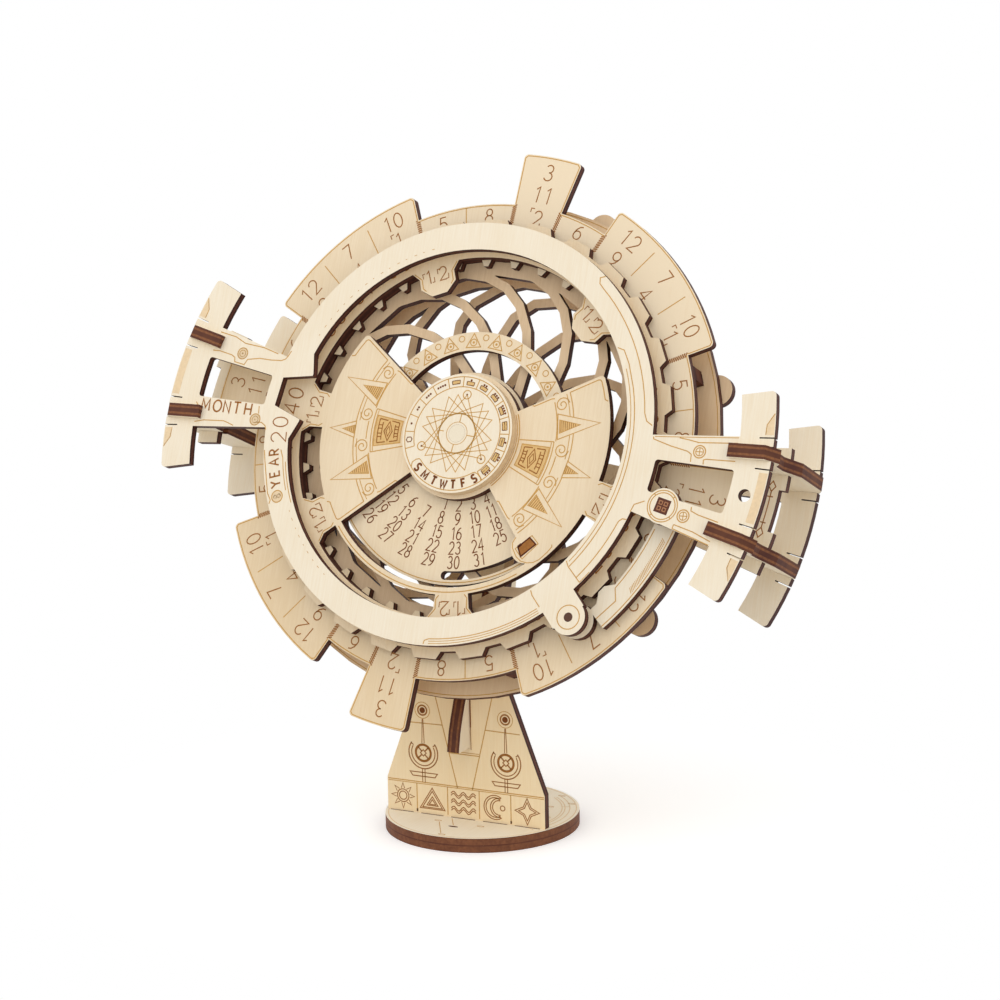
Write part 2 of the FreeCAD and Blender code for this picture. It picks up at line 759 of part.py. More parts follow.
def make_spine():
    """Upright spine from the base, through the panel's slot, up to the rear frame."""
    rear_face = rear_frame_w - ply
    outline = list(spine_profile)
    outline.append(dial_to_world(spine_front_w, spine_front_v))
    outline.append(dial_to_world(spine_turn_w, spine_shoulder_v))
    outline.append(dial_to_world(rear_face, spine_shoulder_v))
    for v in (spine_slot_b, spine_slot_a):
        low = v - spine_slot_length / 2
        high = v + spine_slot_length / 2
        outline += [dial_to_world(rear_face, low), dial_to_world(rear_frame_w, low),
                    dial_to_world(rear_frame_w, high), dial_to_world(rear_face, high)]
    outline.append(dial_to_world(rear_face, spine_top_v))
    outline.append(dial_to_world(spine_back_w, spine_back_top_v))
    outline.append(dial_to_world(spine_back_low_w, spine_back_low_v))
    foot_z = base_ply * 2
    panel_back = ply + fit - panel_y
    outline += [(spine_heel_y, spine_heel_z), (spine_heel_y, foot_z), (panel_back, foot_z),
                (panel_back, panel_slot_z)]
    corners = [FreeCAD.Vector(-spine_thick / 2, y, z) for y, z in outline]
    plate = Part.Face(Part.makePolygon(corners + corners[:1])).extrude(FreeCAD.Vector(spine_thick, 0, 0))
    return join([plate, spine_tab(0.0)])


def build_parts():
    """Every sub-part by node name, in the world frame."""
    parts = {"base_disc_lower": make_base_disc(0.0), "base_disc_upper": make_base_disc(base_ply)}
    parts["stand_panel"] = make_panel()
    parts["stand_spine"] = make_spine()
    dial = {"front_ring": make_front_ring(), "rear_frame": make_rear_frame(),
            "click_arm": make_click_arm(), "lug_peg": make_lug_peg(), "square_peg": make_square_peg(),
            "lug_washer": make_lug_washer(), "square_washer": make_square_washer()}
    for name, clock in arm_clocks().items():
        for place, rib in zip(("a", "b"), rib_clocks(clock)):
            dial["rib_" + name + "_" + place] = make_rib(rib)
        dial["arc_plate_mid_" + name] = make_mid_arc(clock)
    dial["year_plate"] = make_year_plate()
    dial["hub_disc"] = make_hub_disc()
    dial["stop_pin"] = make_stop_pin()
    dial["axle"] = make_axle()
    dial["axle_collar"] = make_collar()
    dial["month_ring"] = make_month_ring()
    dial["date_disk"] = make_date_disk()
    dial["front_lattice"] = make_front_lattice()
    dial["back_plate"] = make_back_plate()
    dial["grip_ring"] = make_grip_ring()
    for index in range(post_count):
        dial["wheel_post_" + str(index + 1)] = make_post(index)
    for name, shape in dial.items():
        parts[name] = placed(shape)
    return parts


def main():
    """Write one STEP file for every sub-part."""
    os.makedirs("parts", exist_ok=True)
    for name, shape in build_parts().items():
        shape.exportStep("parts/" + name + ".step")


main()
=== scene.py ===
"""Looks of a perpetual desk calendar made of laser-cut plywood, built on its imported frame."""

import logging
import math
from dataclasses import dataclass
from enum import Enum

import bmesh
import bpy
from mathutils import Matrix, Vector


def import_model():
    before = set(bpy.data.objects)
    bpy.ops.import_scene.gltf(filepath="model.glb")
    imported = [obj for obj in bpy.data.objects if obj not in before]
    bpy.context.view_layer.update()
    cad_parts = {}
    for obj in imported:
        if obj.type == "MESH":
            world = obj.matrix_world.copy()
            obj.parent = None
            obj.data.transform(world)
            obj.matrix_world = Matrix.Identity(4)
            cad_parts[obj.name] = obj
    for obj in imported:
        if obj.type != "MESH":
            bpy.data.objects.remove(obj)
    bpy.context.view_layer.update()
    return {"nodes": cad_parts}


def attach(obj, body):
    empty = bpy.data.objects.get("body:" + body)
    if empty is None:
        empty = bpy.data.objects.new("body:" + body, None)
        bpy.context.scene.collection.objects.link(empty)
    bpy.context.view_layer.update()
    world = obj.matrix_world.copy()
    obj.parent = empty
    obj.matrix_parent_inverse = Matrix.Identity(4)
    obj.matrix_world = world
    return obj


LOG = logging.getLogger("calendar")
MM = 0.001
FULL_TURN = 360.0
BOTH_SIDES = (-1.0, 1.0)
DIAGONALS = (45.0, 135.0, 225.0, 315.0)
FACE_COSINE = 0.7

Point = tuple[float, float]
Colour = tuple[float, float, float]


class Tone(Enum):
    """How light a sheet of plywood looks in the photograph, as face colour and grain colour; SHADED is
    painted shade for the deep back sheets, and PALE is partly painted light on the base.
    """

    CREAM = ((0.880, 0.795, 0.645), (0.815, 0.690, 0.500))
    SAND = ((0.850, 0.710, 0.510), (0.765, 0.600, 0.385))
    HONEY = ((0.740, 0.555, 0.360), (0.630, 0.440, 0.260))
    GOLDEN = ((0.940, 0.770, 0.510), (0.880, 0.680, 0.400))
    # Painted shade: a darker tone for the back plate and grip ring, which lie in shade behind the month ring.
    SHADED = ((0.840, 0.640, 0.420), (0.740, 0.520, 0.310))
    # Partly painted light: the base's own pale tone, lifted further so the base top stays bright under the
    # dial's shade.
    PALE = ((0.950, 0.885, 0.745), (0.900, 0.800, 0.610))
    TOASTED = ((0.330, 0.150, 0.060), (0.170, 0.062, 0.024))
    SCORCHED = ((0.120, 0.036, 0.020), (0.070, 0.020, 0.012))


class Burn(Enum):
    """How dark the laser leaves a line, as its colour."""

    SHADE = (0.770, 0.600, 0.390)
    HAZE = (0.680, 0.450, 0.190)
    FINE = (0.540, 0.310, 0.095)
    LINE = (0.300, 0.125, 0.035)
    DEEP = (0.165, 0.055, 0.017)
    DARK = (0.085, 0.024, 0.012)
    SCRAPED = (0.360, 0.170, 0.085)


class Edge(Enum):
    """How the laser left a cut edge: char, bared plies, share bared, half width of the bare middle ply."""

    CHARRED = ((0.050, 0.012, 0.009), (0.165, 0.050, 0.026), -0.05, 0.16)
    STREAKED = ((0.075, 0.020, 0.012), (0.330, 0.130, 0.045), 0.05, 0.16)
    BROWN = ((0.075, 0.020, 0.012), (0.255, 0.095, 0.040), 0.15, 0.42)
    RUBBED = ((0.640, 0.450, 0.250), (0.780, 0.620, 0.410), 0.2, 0.30)


@dataclass(frozen=True)
class Plane:
    """A sheet's own axes: x and y in its face, z out of its face, lengths in mm."""

    origin: tuple[float, float, float]
    x_axis: tuple[float, float, float]
    y_axis: tuple[float, float, float]

    def turn(self) -> Matrix:
        """Works out how the sheet is turned.

        Returns:
            Rotation that carries the sheet's axes into the world.
        """
        x_axis = Vector(self.x_axis)
        y_axis = Vector(self.y_axis)
        return Matrix((x_axis, y_axis, x_axis.cross(y_axis))).transposed()

    def normal(self) -> Vector:
        """Direction out of the sheet's face."""
        return self.turn().col[2].copy()

    def matrix(self) -> Matrix:
        """Matrix from the sheet's millimetres to the world's metres."""
        place = Matrix.Translation(Vector(self.origin) * MM)
        return place @ self.turn().to_4x4() @ Matrix.Scale(MM, 4)

    def raised(self, height: float) -> "Plane":
        """The same axes with the origin moved out of the face.

        Args:
            height: Distance along the face's normal, in mm.

        Returns:
            The moved plane.
        """
        place = Vector(self.origin) + self.normal() * height
        return Plane(tuple(place), self.x_axis, self.y_axis)


@dataclass(frozen=True)
class Nodes:
    """Shorthand for building the nodes of a material or of a geometry tree."""

    tree: bpy.types.NodeTree

    def add(self, kind: str, inputs: dict | None = None, **settings: object) -> bpy.types.Node:
        """Adds a node, sets its properties and fills or links its inputs.

        Args:
            kind: The node's type name.
            inputs: Input name or number to a value or to an output socket.
            **settings: Properties of the node.

        Returns:
            The new node.
        """
        node = self.tree.nodes.new(kind)
        for name, value in settings.items():
            setattr(node, name, value)
        for key, value in (inputs or {}).items():
            if isinstance(value, bpy.types.NodeSocket):
                self.tree.links.new(value, node.inputs[key])
            else:
                node.inputs[key].default_value = value
        return node

    def maths(self, operation: str, *values: object) -> bpy.types.NodeSocket:
        """Adds a Math node and returns its output.

        Args:
            operation: The node's operation.
            *values: Numbers or output sockets, in the order of the inputs.

        Returns:
            The node's value socket.
        """
        return self.add("ShaderNodeMath", dict(enumerate(values)), operation=operation).outputs[0]

    def clamp(self, value: bpy.types.NodeSocket) -> bpy.types.NodeSocket:
        """Keeps a value between nought and one."""
        return self.add("ShaderNodeClamp", {0: value, 1: 0.0, 2: 1.0}).outputs[0]

    def noise(self, place: bpy.types.NodeSocket, scale: float, detail: float,
              roughness: float = 0.5) -> bpy.types.NodeSocket:
        """Adds a Noise Texture node and returns its value output.

        Args:
            place: Coordinates that the noise is read at.
            scale: Its scale.
            detail: Its number of finer layers.
            roughness: How strong the finer layers are.

        Returns:
            The noise's value socket.
        """
        inputs = {"Vector": place, "Scale": scale, "Detail": detail, "Roughness": roughness}
        return self.add("ShaderNodeTexNoise", inputs).outputs[0]

    def mix(self, share: object, first: object, second: object, blend: str = "MIX") -> bpy.types.NodeSocket:
        """Adds a colour Mix node and returns its colour output.

        Args:
            share: Share of the second colour.
            first: First colour or its socket.
            second: Second colour or its socket.
            blend: Blend mode.

        Returns:
            The mixed colour's socket.
        """
        node = self.tree.nodes.new("ShaderNodeMix")
        node.data_type = "RGBA"
        node.blend_type = blend
        for number, value in ((0, share), (6, first), (7, second)):
            if isinstance(value, bpy.types.NodeSocket):
                self.tree.links.new(value, node.inputs[number])
            else:
                node.inputs[number].default_value = value if number == 0 else (*value, 1.0)
        return node.outputs[2]


def new_material(name: str) -> tuple[bpy.types.Material, Nodes, bpy.types.Node]:
    """Makes an empty node material with its main shader.

    Args:
        name: The material's name.

    Returns:
        The material, its node helper and the shader node.
    """
    material = bpy.data.materials.new(name)
    material.use_nodes = True
    material.node_tree.nodes.clear()
    nodes = Nodes(material.node_tree)
    shader = nodes.add("ShaderNodeBsdfPrincipled")
    nodes.add("ShaderNodeOutputMaterial", {"Surface": shader.outputs[0]})
    return material, nodes, shader


def sheet_space(nodes: Nodes, plane: Plane) -> tuple[bpy.types.NodeSocket, bpy.types.NodeSocket]:
    """Measures a piece along its sheet's axes.

    Args:
        nodes: Node helper.
        plane: The sheet's axes.

    Returns:
        Coordinates in mm, and a value that is one on the flat faces and nought on the cut edges.
    """
    coords = nodes.add("ShaderNodeTexCoord")
    local = nodes.add(
        "ShaderNodeMapping",
        {"Vector": coords.outputs["Object"], "Location": Vector(plane.origin) * MM,
         "Rotation": plane.turn().to_euler(), "Scale": (MM, MM, MM)},
        vector_type="TEXTURE",
    ).outputs[0]
    facing = nodes.add(
        "ShaderNodeVectorMath",
        {0: coords.outputs["Normal"], 1: plane.normal()},
        operation="DOT_PRODUCT",
    ).outputs["Value"]
    return local, nodes.maths("GREATER_THAN", nodes.maths("ABSOLUTE", facing), FACE_COSINE)


@dataclass(frozen=True)
class PlyFinish:
    """Plywood sheet: pale sanded faces, cut edges charred by the laser with the plies showing."""

    tone: Tone
    edge: Edge = Edge.CHARRED
    sheets: int = 1
    roughness: float = 0.62
    gloss: float = 0.25
    ply_blur: float = 0.03
    grain_scale: tuple[float, float, float] = (1.6, 0.07, 0.4)
    fibre_scale: tuple[float, float, float] = (5.0, 0.35, 2.0)
    seed: float = 0.0
    # Painted shade: how much browner the face gets per mm along the sheet's x and y.
    lean: Point = (0.0, 0.0)

    def material(self, name: str, plane: Plane, low: float, high: float) -> bpy.types.Material:
        """Builds the material of one sheet.

        Args:
            name: The material's name.
            plane: The sheet's axes.
            low: Back face of the sheet along its normal, in mm from the plane.
            high: Front face of the sheet, measured likewise.

        Returns:
            The material.
        """
        material, nodes, shader = new_material(name)
        local, is_face = sheet_space(nodes, plane)
        face = self.face_colour(nodes, local)
        edge = self.edge_colour(nodes, local, low, high)
        nodes.tree.links.new(nodes.mix(is_face, edge, face), shader.inputs["Base Color"])
        shader.inputs["Roughness"].default_value = self.roughness
        shader.inputs["Specular IOR Level"].default_value = self.gloss
        self.bump(nodes, local, shader)
        return material

    def face_colour(self, nodes: Nodes, local: bpy.types.NodeSocket) -> bpy.types.NodeSocket:
        """Colour of a sanded face: streaks of grain over slow changes of tone, and painted shade that browns
        it steadily along the sheet.

        Args:
            nodes: Node helper.
            local: Sheet coordinates in mm.

        Returns:
            Colour socket.
        """
        light, grain = self.tone.value
        stretched = nodes.add(
            "ShaderNodeMapping",
            {"Vector": local, "Location": (self.seed, self.seed * 1.7, 0.0), "Scale": self.grain_scale},
        ).outputs[0]
        streak = nodes.noise(stretched, 1.0, 4.0, 0.62)
        cloud = nodes.noise(local, 0.045, 2.0)
        amount = nodes.maths("MULTIPLY_ADD", streak, 1.5, -0.42)
        amount = nodes.maths("MULTIPLY_ADD", nodes.maths("SUBTRACT", cloud, 0.5), 0.9, amount)
        across = nodes.add("ShaderNodeSeparateXYZ", {0: local}).outputs
        # Painted shade: the face browns steadily along the sheet's x and y, darker towards the side that lies
        # in shade.
        for axis, slope in enumerate(self.lean):
            amount = nodes.maths("MULTIPLY_ADD", across[axis], slope, amount)
        return nodes.mix(nodes.clamp(amount), light, grain)

    def edge_colour(
        self, nodes: Nodes, local: bpy.types.NodeSocket, low: float, high: float
    ) -> bpy.types.NodeSocket:
        """Colour of a cut edge: charred outer plies and a warmer middle ply, with soot streaks.

        Args:
            nodes: Node helper.
            local: Sheet coordinates in mm.
            low: Back face along the normal, in mm.
            high: Front face along the normal, in mm.

        Returns:
            Colour socket.
        """
        char, bared, share_bared, band = self.edge.value
        depth = nodes.add("ShaderNodeSeparateXYZ", {0: local}).outputs[2]
        height = nodes.add(
            "ShaderNodeMapRange", {0: depth, 1: low, 2: high, 4: float(self.sheets)}
        ).outputs[0]
        off_middle = nodes.maths("ABSOLUTE", nodes.maths("SUBTRACT", nodes.maths("FRACT", height), 0.5))
        middle_ply = nodes.add(
            "ShaderNodeMapRange",
            {0: off_middle, 1: band - self.ply_blur, 2: band + self.ply_blur, 3: 1.0, 4: 0.0},
            interpolation_type="SMOOTHSTEP",
        ).outputs[0]
        soot = nodes.noise(local, 0.9, 3.0)
        warm = nodes.maths("MULTIPLY", middle_ply, nodes.maths("MULTIPLY_ADD", soot, 1.1, -0.1))
        blotch = nodes.noise(local, 0.16, 2.0)
        warm = nodes.maths("MULTIPLY_ADD", nodes.maths("SUBTRACT", blotch, 0.45), 0.6, warm)
        warm = nodes.maths("ADD", warm, share_bared)
        return nodes.mix(nodes.clamp(warm), char, bared)

    def bump(self, nodes: Nodes, local: bpy.types.NodeSocket, shader: bpy.types.Node) -> None:
        """Adds the fine relief of sanded wood fibres.

        Args:
            nodes: Node helper.
            local: Sheet coordinates in mm.
            shader: The main shader.
        """
        fibre = nodes.add("ShaderNodeMapping", {"Vector": local, "Scale": self.fibre_scale}).outputs[0]
        relief = nodes.noise(fibre, 1.0, 3.0)
        bump = nodes.add("ShaderNodeBump", {"Height": relief, "Strength": 0.12, "Distance": 0.00005})
        nodes.tree.links.new(bump.outputs[0], shader.inputs["Normal"])


@dataclass(frozen=True)
class DowelFinish:
    """Round wooden stock: streaked sides and speckled end grain."""

    side: Colour = (0.560, 0.360, 0.180)
    streak: Colour = (0.400, 0.230, 0.100)
    end: Colour = (0.860, 0.775, 0.620)
    end_speck: Colour = (0.790, 0.690, 0.520)
    roughness: float = 0.7
    fibre_scale: tuple[float, float, float] = (2.5, 2.5, 0.15)

    def material(self, name: str, plane: Plane) -> bpy.types.Material:
        """Builds the material of one dowel.

        Args:
            name: The material's name.
            plane: Axes whose z runs along the dowel.

        Returns:
            The material.
        """
        material, nodes, shader = new_material(name)
        local, is_end = sheet_space(nodes, plane)
        fibre = nodes.add("ShaderNodeMapping", {"Vector": local, "Scale": self.fibre_scale}).outputs[0]
        streak = nodes.noise(fibre, 1.0, 3.0)
        side = nodes.mix(streak, self.side, self.streak)
        end = nodes.mix(nodes.noise(local, 2.4, 3.0), self.end, self.end_speck)
        nodes.tree.links.new(nodes.mix(is_end, side, end), shader.inputs["Base Color"])
        shader.inputs["Roughness"].default_value = self.roughness
        bump = nodes.add("ShaderNodeBump", {"Height": streak, "Strength": 0.2, "Distance": 0.0001})
        nodes.tree.links.new(bump.outputs[0], shader.inputs["Normal"])
        return material


@dataclass(frozen=True)
class BurnFinish:
    """Line engraved by the laser: scorched wood, darker and lighter along its run."""

    burn: Burn
    patch_scale: float = 900.0
    paler_by: float = 0.75
    darker_by: float = 0.38
    roughness: float = 0.85
    gloss: float = 0.1

    def material(self) -> bpy.types.Material:
        """Builds the material of this burn, once for the whole scene.

        Returns:
            The material.
        """
        name = "burn_" + self.burn.name.lower()
        if name in bpy.data.materials:
            return bpy.data.materials[name]
        material, nodes, shader = new_material(name)
        coords = nodes.add("ShaderNodeTexCoord")
        patch = nodes.noise(coords.outputs["Object"], self.patch_scale, 2.0)
        depth = 1.0 - max(self.burn.value)
        paler = tuple(value * (1.0 + depth * self.paler_by) for value in self.burn.value)
        darker = tuple(value * (1.0 - depth * self.darker_by) for value in self.burn.value)
        nodes.tree.links.new(nodes.mix(patch, darker, paler), shader.inputs["Base Color"])
        shader.inputs["Roughness"].default_value = self.roughness
        shader.inputs["Specular IOR Level"].default_value = self.gloss
        return material


def spot(centre: Point, radius: float, turn: float) -> Point:
    """Point of a circle at an angle in degrees, anticlockwise from the right."""
    angle = math.radians(turn)
    return centre[0] + radius * math.cos(angle), centre[1] + radius * math.sin(angle)


def arc(centre: Point, radii: Point, start: float, end: float, count: int) -> list[Point]:
    """Points of an elliptic arc.

    Args:
        centre: Middle of the arc.
        radii: Half width and half height.
        start: First angle in degrees, anticlockwise from the right.
        end: Last angle.
        count: Number of steps.

    Returns:
        The points, both ends included.
    """
    points = []
    for index in range(count + 1):
        angle = math.radians(start + (end - start) * index / count)
        points.append((centre[0] + radii[0] * math.cos(angle), centre[1] + radii[1] * math.sin(angle)))
    return points


def polar(radius: float, clock: float) -> Point:
    """Point of the dial at a radius and a clock angle."""
    angle = math.radians(clock)
    return radius * math.sin(angle), radius * math.cos(angle)


def field_outline(inner: float, outer: float, start: float, end: float) -> list[Point]:
    """Outline of a field between two radii and two clock angles.

    Args:
        inner: Inner radius.
        outer: Outer radius.
        start: First clock angle.
        end: Last clock angle.

    Returns:
        Its points, the first one not repeated.
    """
    count = max(2, math.ceil(abs(end - start) / 3.0))
    clocks = [start + (end - start) * index / count for index in range(count + 1)]
    return [polar(outer, clock) for clock in clocks] + [polar(inner, clock) for clock in reversed(clocks)]


class StrokeFont:
    """Thin round-ended figures and capitals, each a list of strokes in a box one unit high."""

    def __init__(self) -> None:
        """Draws every glyph once."""
        low_bowl = arc((0.30, 0.30), (0.28, 0.30), 0, 360, 14)
        self.glyphs: dict[str, list[list[Point]]] = {
            "0": [arc((0.30, 0.50), (0.28, 0.50), 0, 360, 16)],
            "1": [[(0.14, 0.82), (0.34, 1.0), (0.34, 0.0)]],
            "2": [arc((0.30, 0.71), (0.27, 0.29), 165, -35, 9) + [(0.03, 0.0), (0.58, 0.0)]],
            "3": [arc((0.28, 0.755), (0.24, 0.245), 150, -90, 9),
                  arc((0.28, 0.265), (0.28, 0.265), 90, -155, 9)],
            "4": [[(0.44, 0.0), (0.44, 1.0), (0.0, 0.30), (0.60, 0.30)]],
            "5": [[(0.54, 1.0), (0.12, 1.0), (0.07, 0.55)] + arc((0.28, 0.32), (0.29, 0.32), 135, -150, 10)],
            "6": [low_bowl, [(0.50, 0.97), (0.30, 0.90), (0.12, 0.68), (0.03, 0.40)]],
            "7": [[(0.03, 1.0), (0.57, 1.0), (0.22, 0.0)]],
            "8": [arc((0.30, 0.755), (0.22, 0.245), 0, 360, 14),
                  arc((0.30, 0.265), (0.28, 0.265), 0, 360, 14)],
            "9": [[(0.60 - x, 1.0 - y) for x, y in low_bowl],
                  [(0.10, 0.03), (0.30, 0.10), (0.48, 0.32), (0.57, 0.60)]],
            "A": [[(0.0, 0.0), (0.32, 1.0), (0.64, 0.0)], [(0.12, 0.36), (0.52, 0.36)]],
            "E": [[(0.52, 1.0), (0.06, 1.0), (0.06, 0.0), (0.54, 0.0)], [(0.06, 0.52), (0.44, 0.52)]],
            "F": [[(0.52, 1.0), (0.06, 1.0), (0.06, 0.0)], [(0.06, 0.52), (0.44, 0.52)]],
            "H": [[(0.05, 1.0), (0.05, 0.0)], [(0.60, 1.0), (0.60, 0.0)], [(0.05, 0.5), (0.60, 0.5)]],
            "M": [[(0.02, 0.0), (0.08, 1.0), (0.38, 0.25), (0.68, 1.0), (0.74, 0.0)]],
            "N": [[(0.06, 0.0), (0.06, 1.0), (0.60, 0.0), (0.60, 1.0)]],
            "O": [arc((0.38, 0.50), (0.36, 0.50), 0, 360, 18)],
            "R": [[(0.06, 0.0), (0.06, 1.0)] + arc((0.28, 0.74), (0.26, 0.26), 90, -90, 8)
                  + [(0.06, 0.48), (0.28, 0.48), (0.58, 0.0)]],
            "S": [arc((0.30, 0.75), (0.24, 0.25), 35, 270, 9)[:-1]
                  + arc((0.30, 0.25), (0.26, 0.25), 90, -145, 9)],
            "T": [[(0.0, 1.0), (0.60, 1.0)], [(0.30, 1.0), (0.30, 0.0)]],
            "W": [[(0.0, 1.0), (0.20, 0.0), (0.42, 0.80), (0.64, 0.0), (0.84, 1.0)]],
            "Y": [[(0.0, 1.0), (0.31, 0.5), (0.62, 1.0)], [(0.31, 0.5), (0.31, 0.0)]],
        }
        self.usual_width = 0.60
        self.widths = {"M": 0.76, "W": 0.84, "O": 0.76, "1": 0.48, "N": 0.66, "H": 0.66, "A": 0.64}

    def width(self, word: str, gap: float) -> float:
        """Width of a word one unit high, with a gap between letters."""
        letters = sum(self.widths.get(letter, self.usual_width) for letter in word)
        return letters + gap * (len(word) - 1)

    def strokes(self, word: str, gap: float = 0.22) -> list[list[Point]]:
        """Strokes of a word, centred on the origin, one unit high.

        Args:
            word: The letters.
            gap: Space between letters, in units of their height.

        Returns:
            The strokes as lists of points.
        """
        left = -self.width(word, gap) / 2
        found = []
        for letter in word:
            for stroke in self.glyphs[letter]:
                found.append([(x + left, y - 0.5) for x, y in stroke])
            left += self.widths.get(letter, self.usual_width) + gap
        return found


FONT = StrokeFont()


class RingPattern:
    """Geometry Nodes tree that repeats a motif round a dial's middle."""

    def __init__(self) -> None:
        """Builds the tree once, with named inputs."""
        tree = bpy.data.node_groups.new("ring_pattern", "GeometryNodeTree")
        face = tree.interface
        face.new_socket("Geometry", in_out="INPUT", socket_type="NodeSocketGeometry")
        self.count = face.new_socket("Count", in_out="INPUT", socket_type="NodeSocketInt").identifier
        self.start = face.new_socket("Start", in_out="INPUT", socket_type="NodeSocketFloat").identifier
        self.step = face.new_socket("Step", in_out="INPUT", socket_type="NodeSocketFloat").identifier
        self.finish = face.new_socket("Finish", in_out="INPUT", socket_type="NodeSocketMaterial").identifier
        face.new_socket("Geometry", in_out="OUTPUT", socket_type="NodeSocketGeometry")
        nodes = Nodes(tree)
        given = nodes.add("NodeGroupInput").outputs
        line = nodes.add("GeometryNodeMeshLine", {"Count": given["Count"], "Offset": (0.0, 0.0, 0.0)})
        turn = nodes.maths("MULTIPLY_ADD", nodes.add("GeometryNodeInputIndex").outputs[0], given["Step"],
                           given["Start"])
        turn = nodes.maths("RADIANS", nodes.maths("MULTIPLY", turn, -1.0))
        spin = nodes.add("ShaderNodeCombineXYZ", {"Z": turn})
        copies = nodes.add("GeometryNodeInstanceOnPoints", {
            "Points": line.outputs[0], "Instance": given["Geometry"], "Rotation": spin.outputs[0]})
        real = nodes.add("GeometryNodeRealizeInstances", {"Geometry": copies.outputs[0]})
        dressed = nodes.add("GeometryNodeSetMaterial", {
            "Geometry": real.outputs[0], "Material": given["Finish"]})
        nodes.add("NodeGroupOutput", {"Geometry": dressed.outputs[0]})
        self.tree = tree

    def spread(self, motif: bpy.types.Mesh, count: int, start: float, step: float,
               finish: bpy.types.Material) -> bpy.types.Mesh:
        """Repeats a motif that is drawn at clock angle zero.

        Args:
            motif: Mesh of one motif, in mm.
            count: Number of copies.
            start: Clock angle of the first copy.
            step: Clock angle between copies.
            finish: Material of the result.

        Returns:
            A plain mesh of all copies.
        """
        holder = bpy.data.objects.new("pattern_holder", motif)
        bpy.context.scene.collection.objects.link(holder)
        modifier = holder.modifiers.new("pattern", "NODES")
        modifier.node_group = self.tree
        keys = (self.count, self.start, self.step, self.finish)
        for key, value in zip(keys, (count, start, step, finish)):
            modifier[key] = value
        graph = bpy.context.evaluated_depsgraph_get()
        made = bpy.data.meshes.new_from_object(holder.evaluated_get(graph), depsgraph=graph)
        holder.modifiers.remove(modifier)
        bpy.data.objects.remove(holder)
        return made


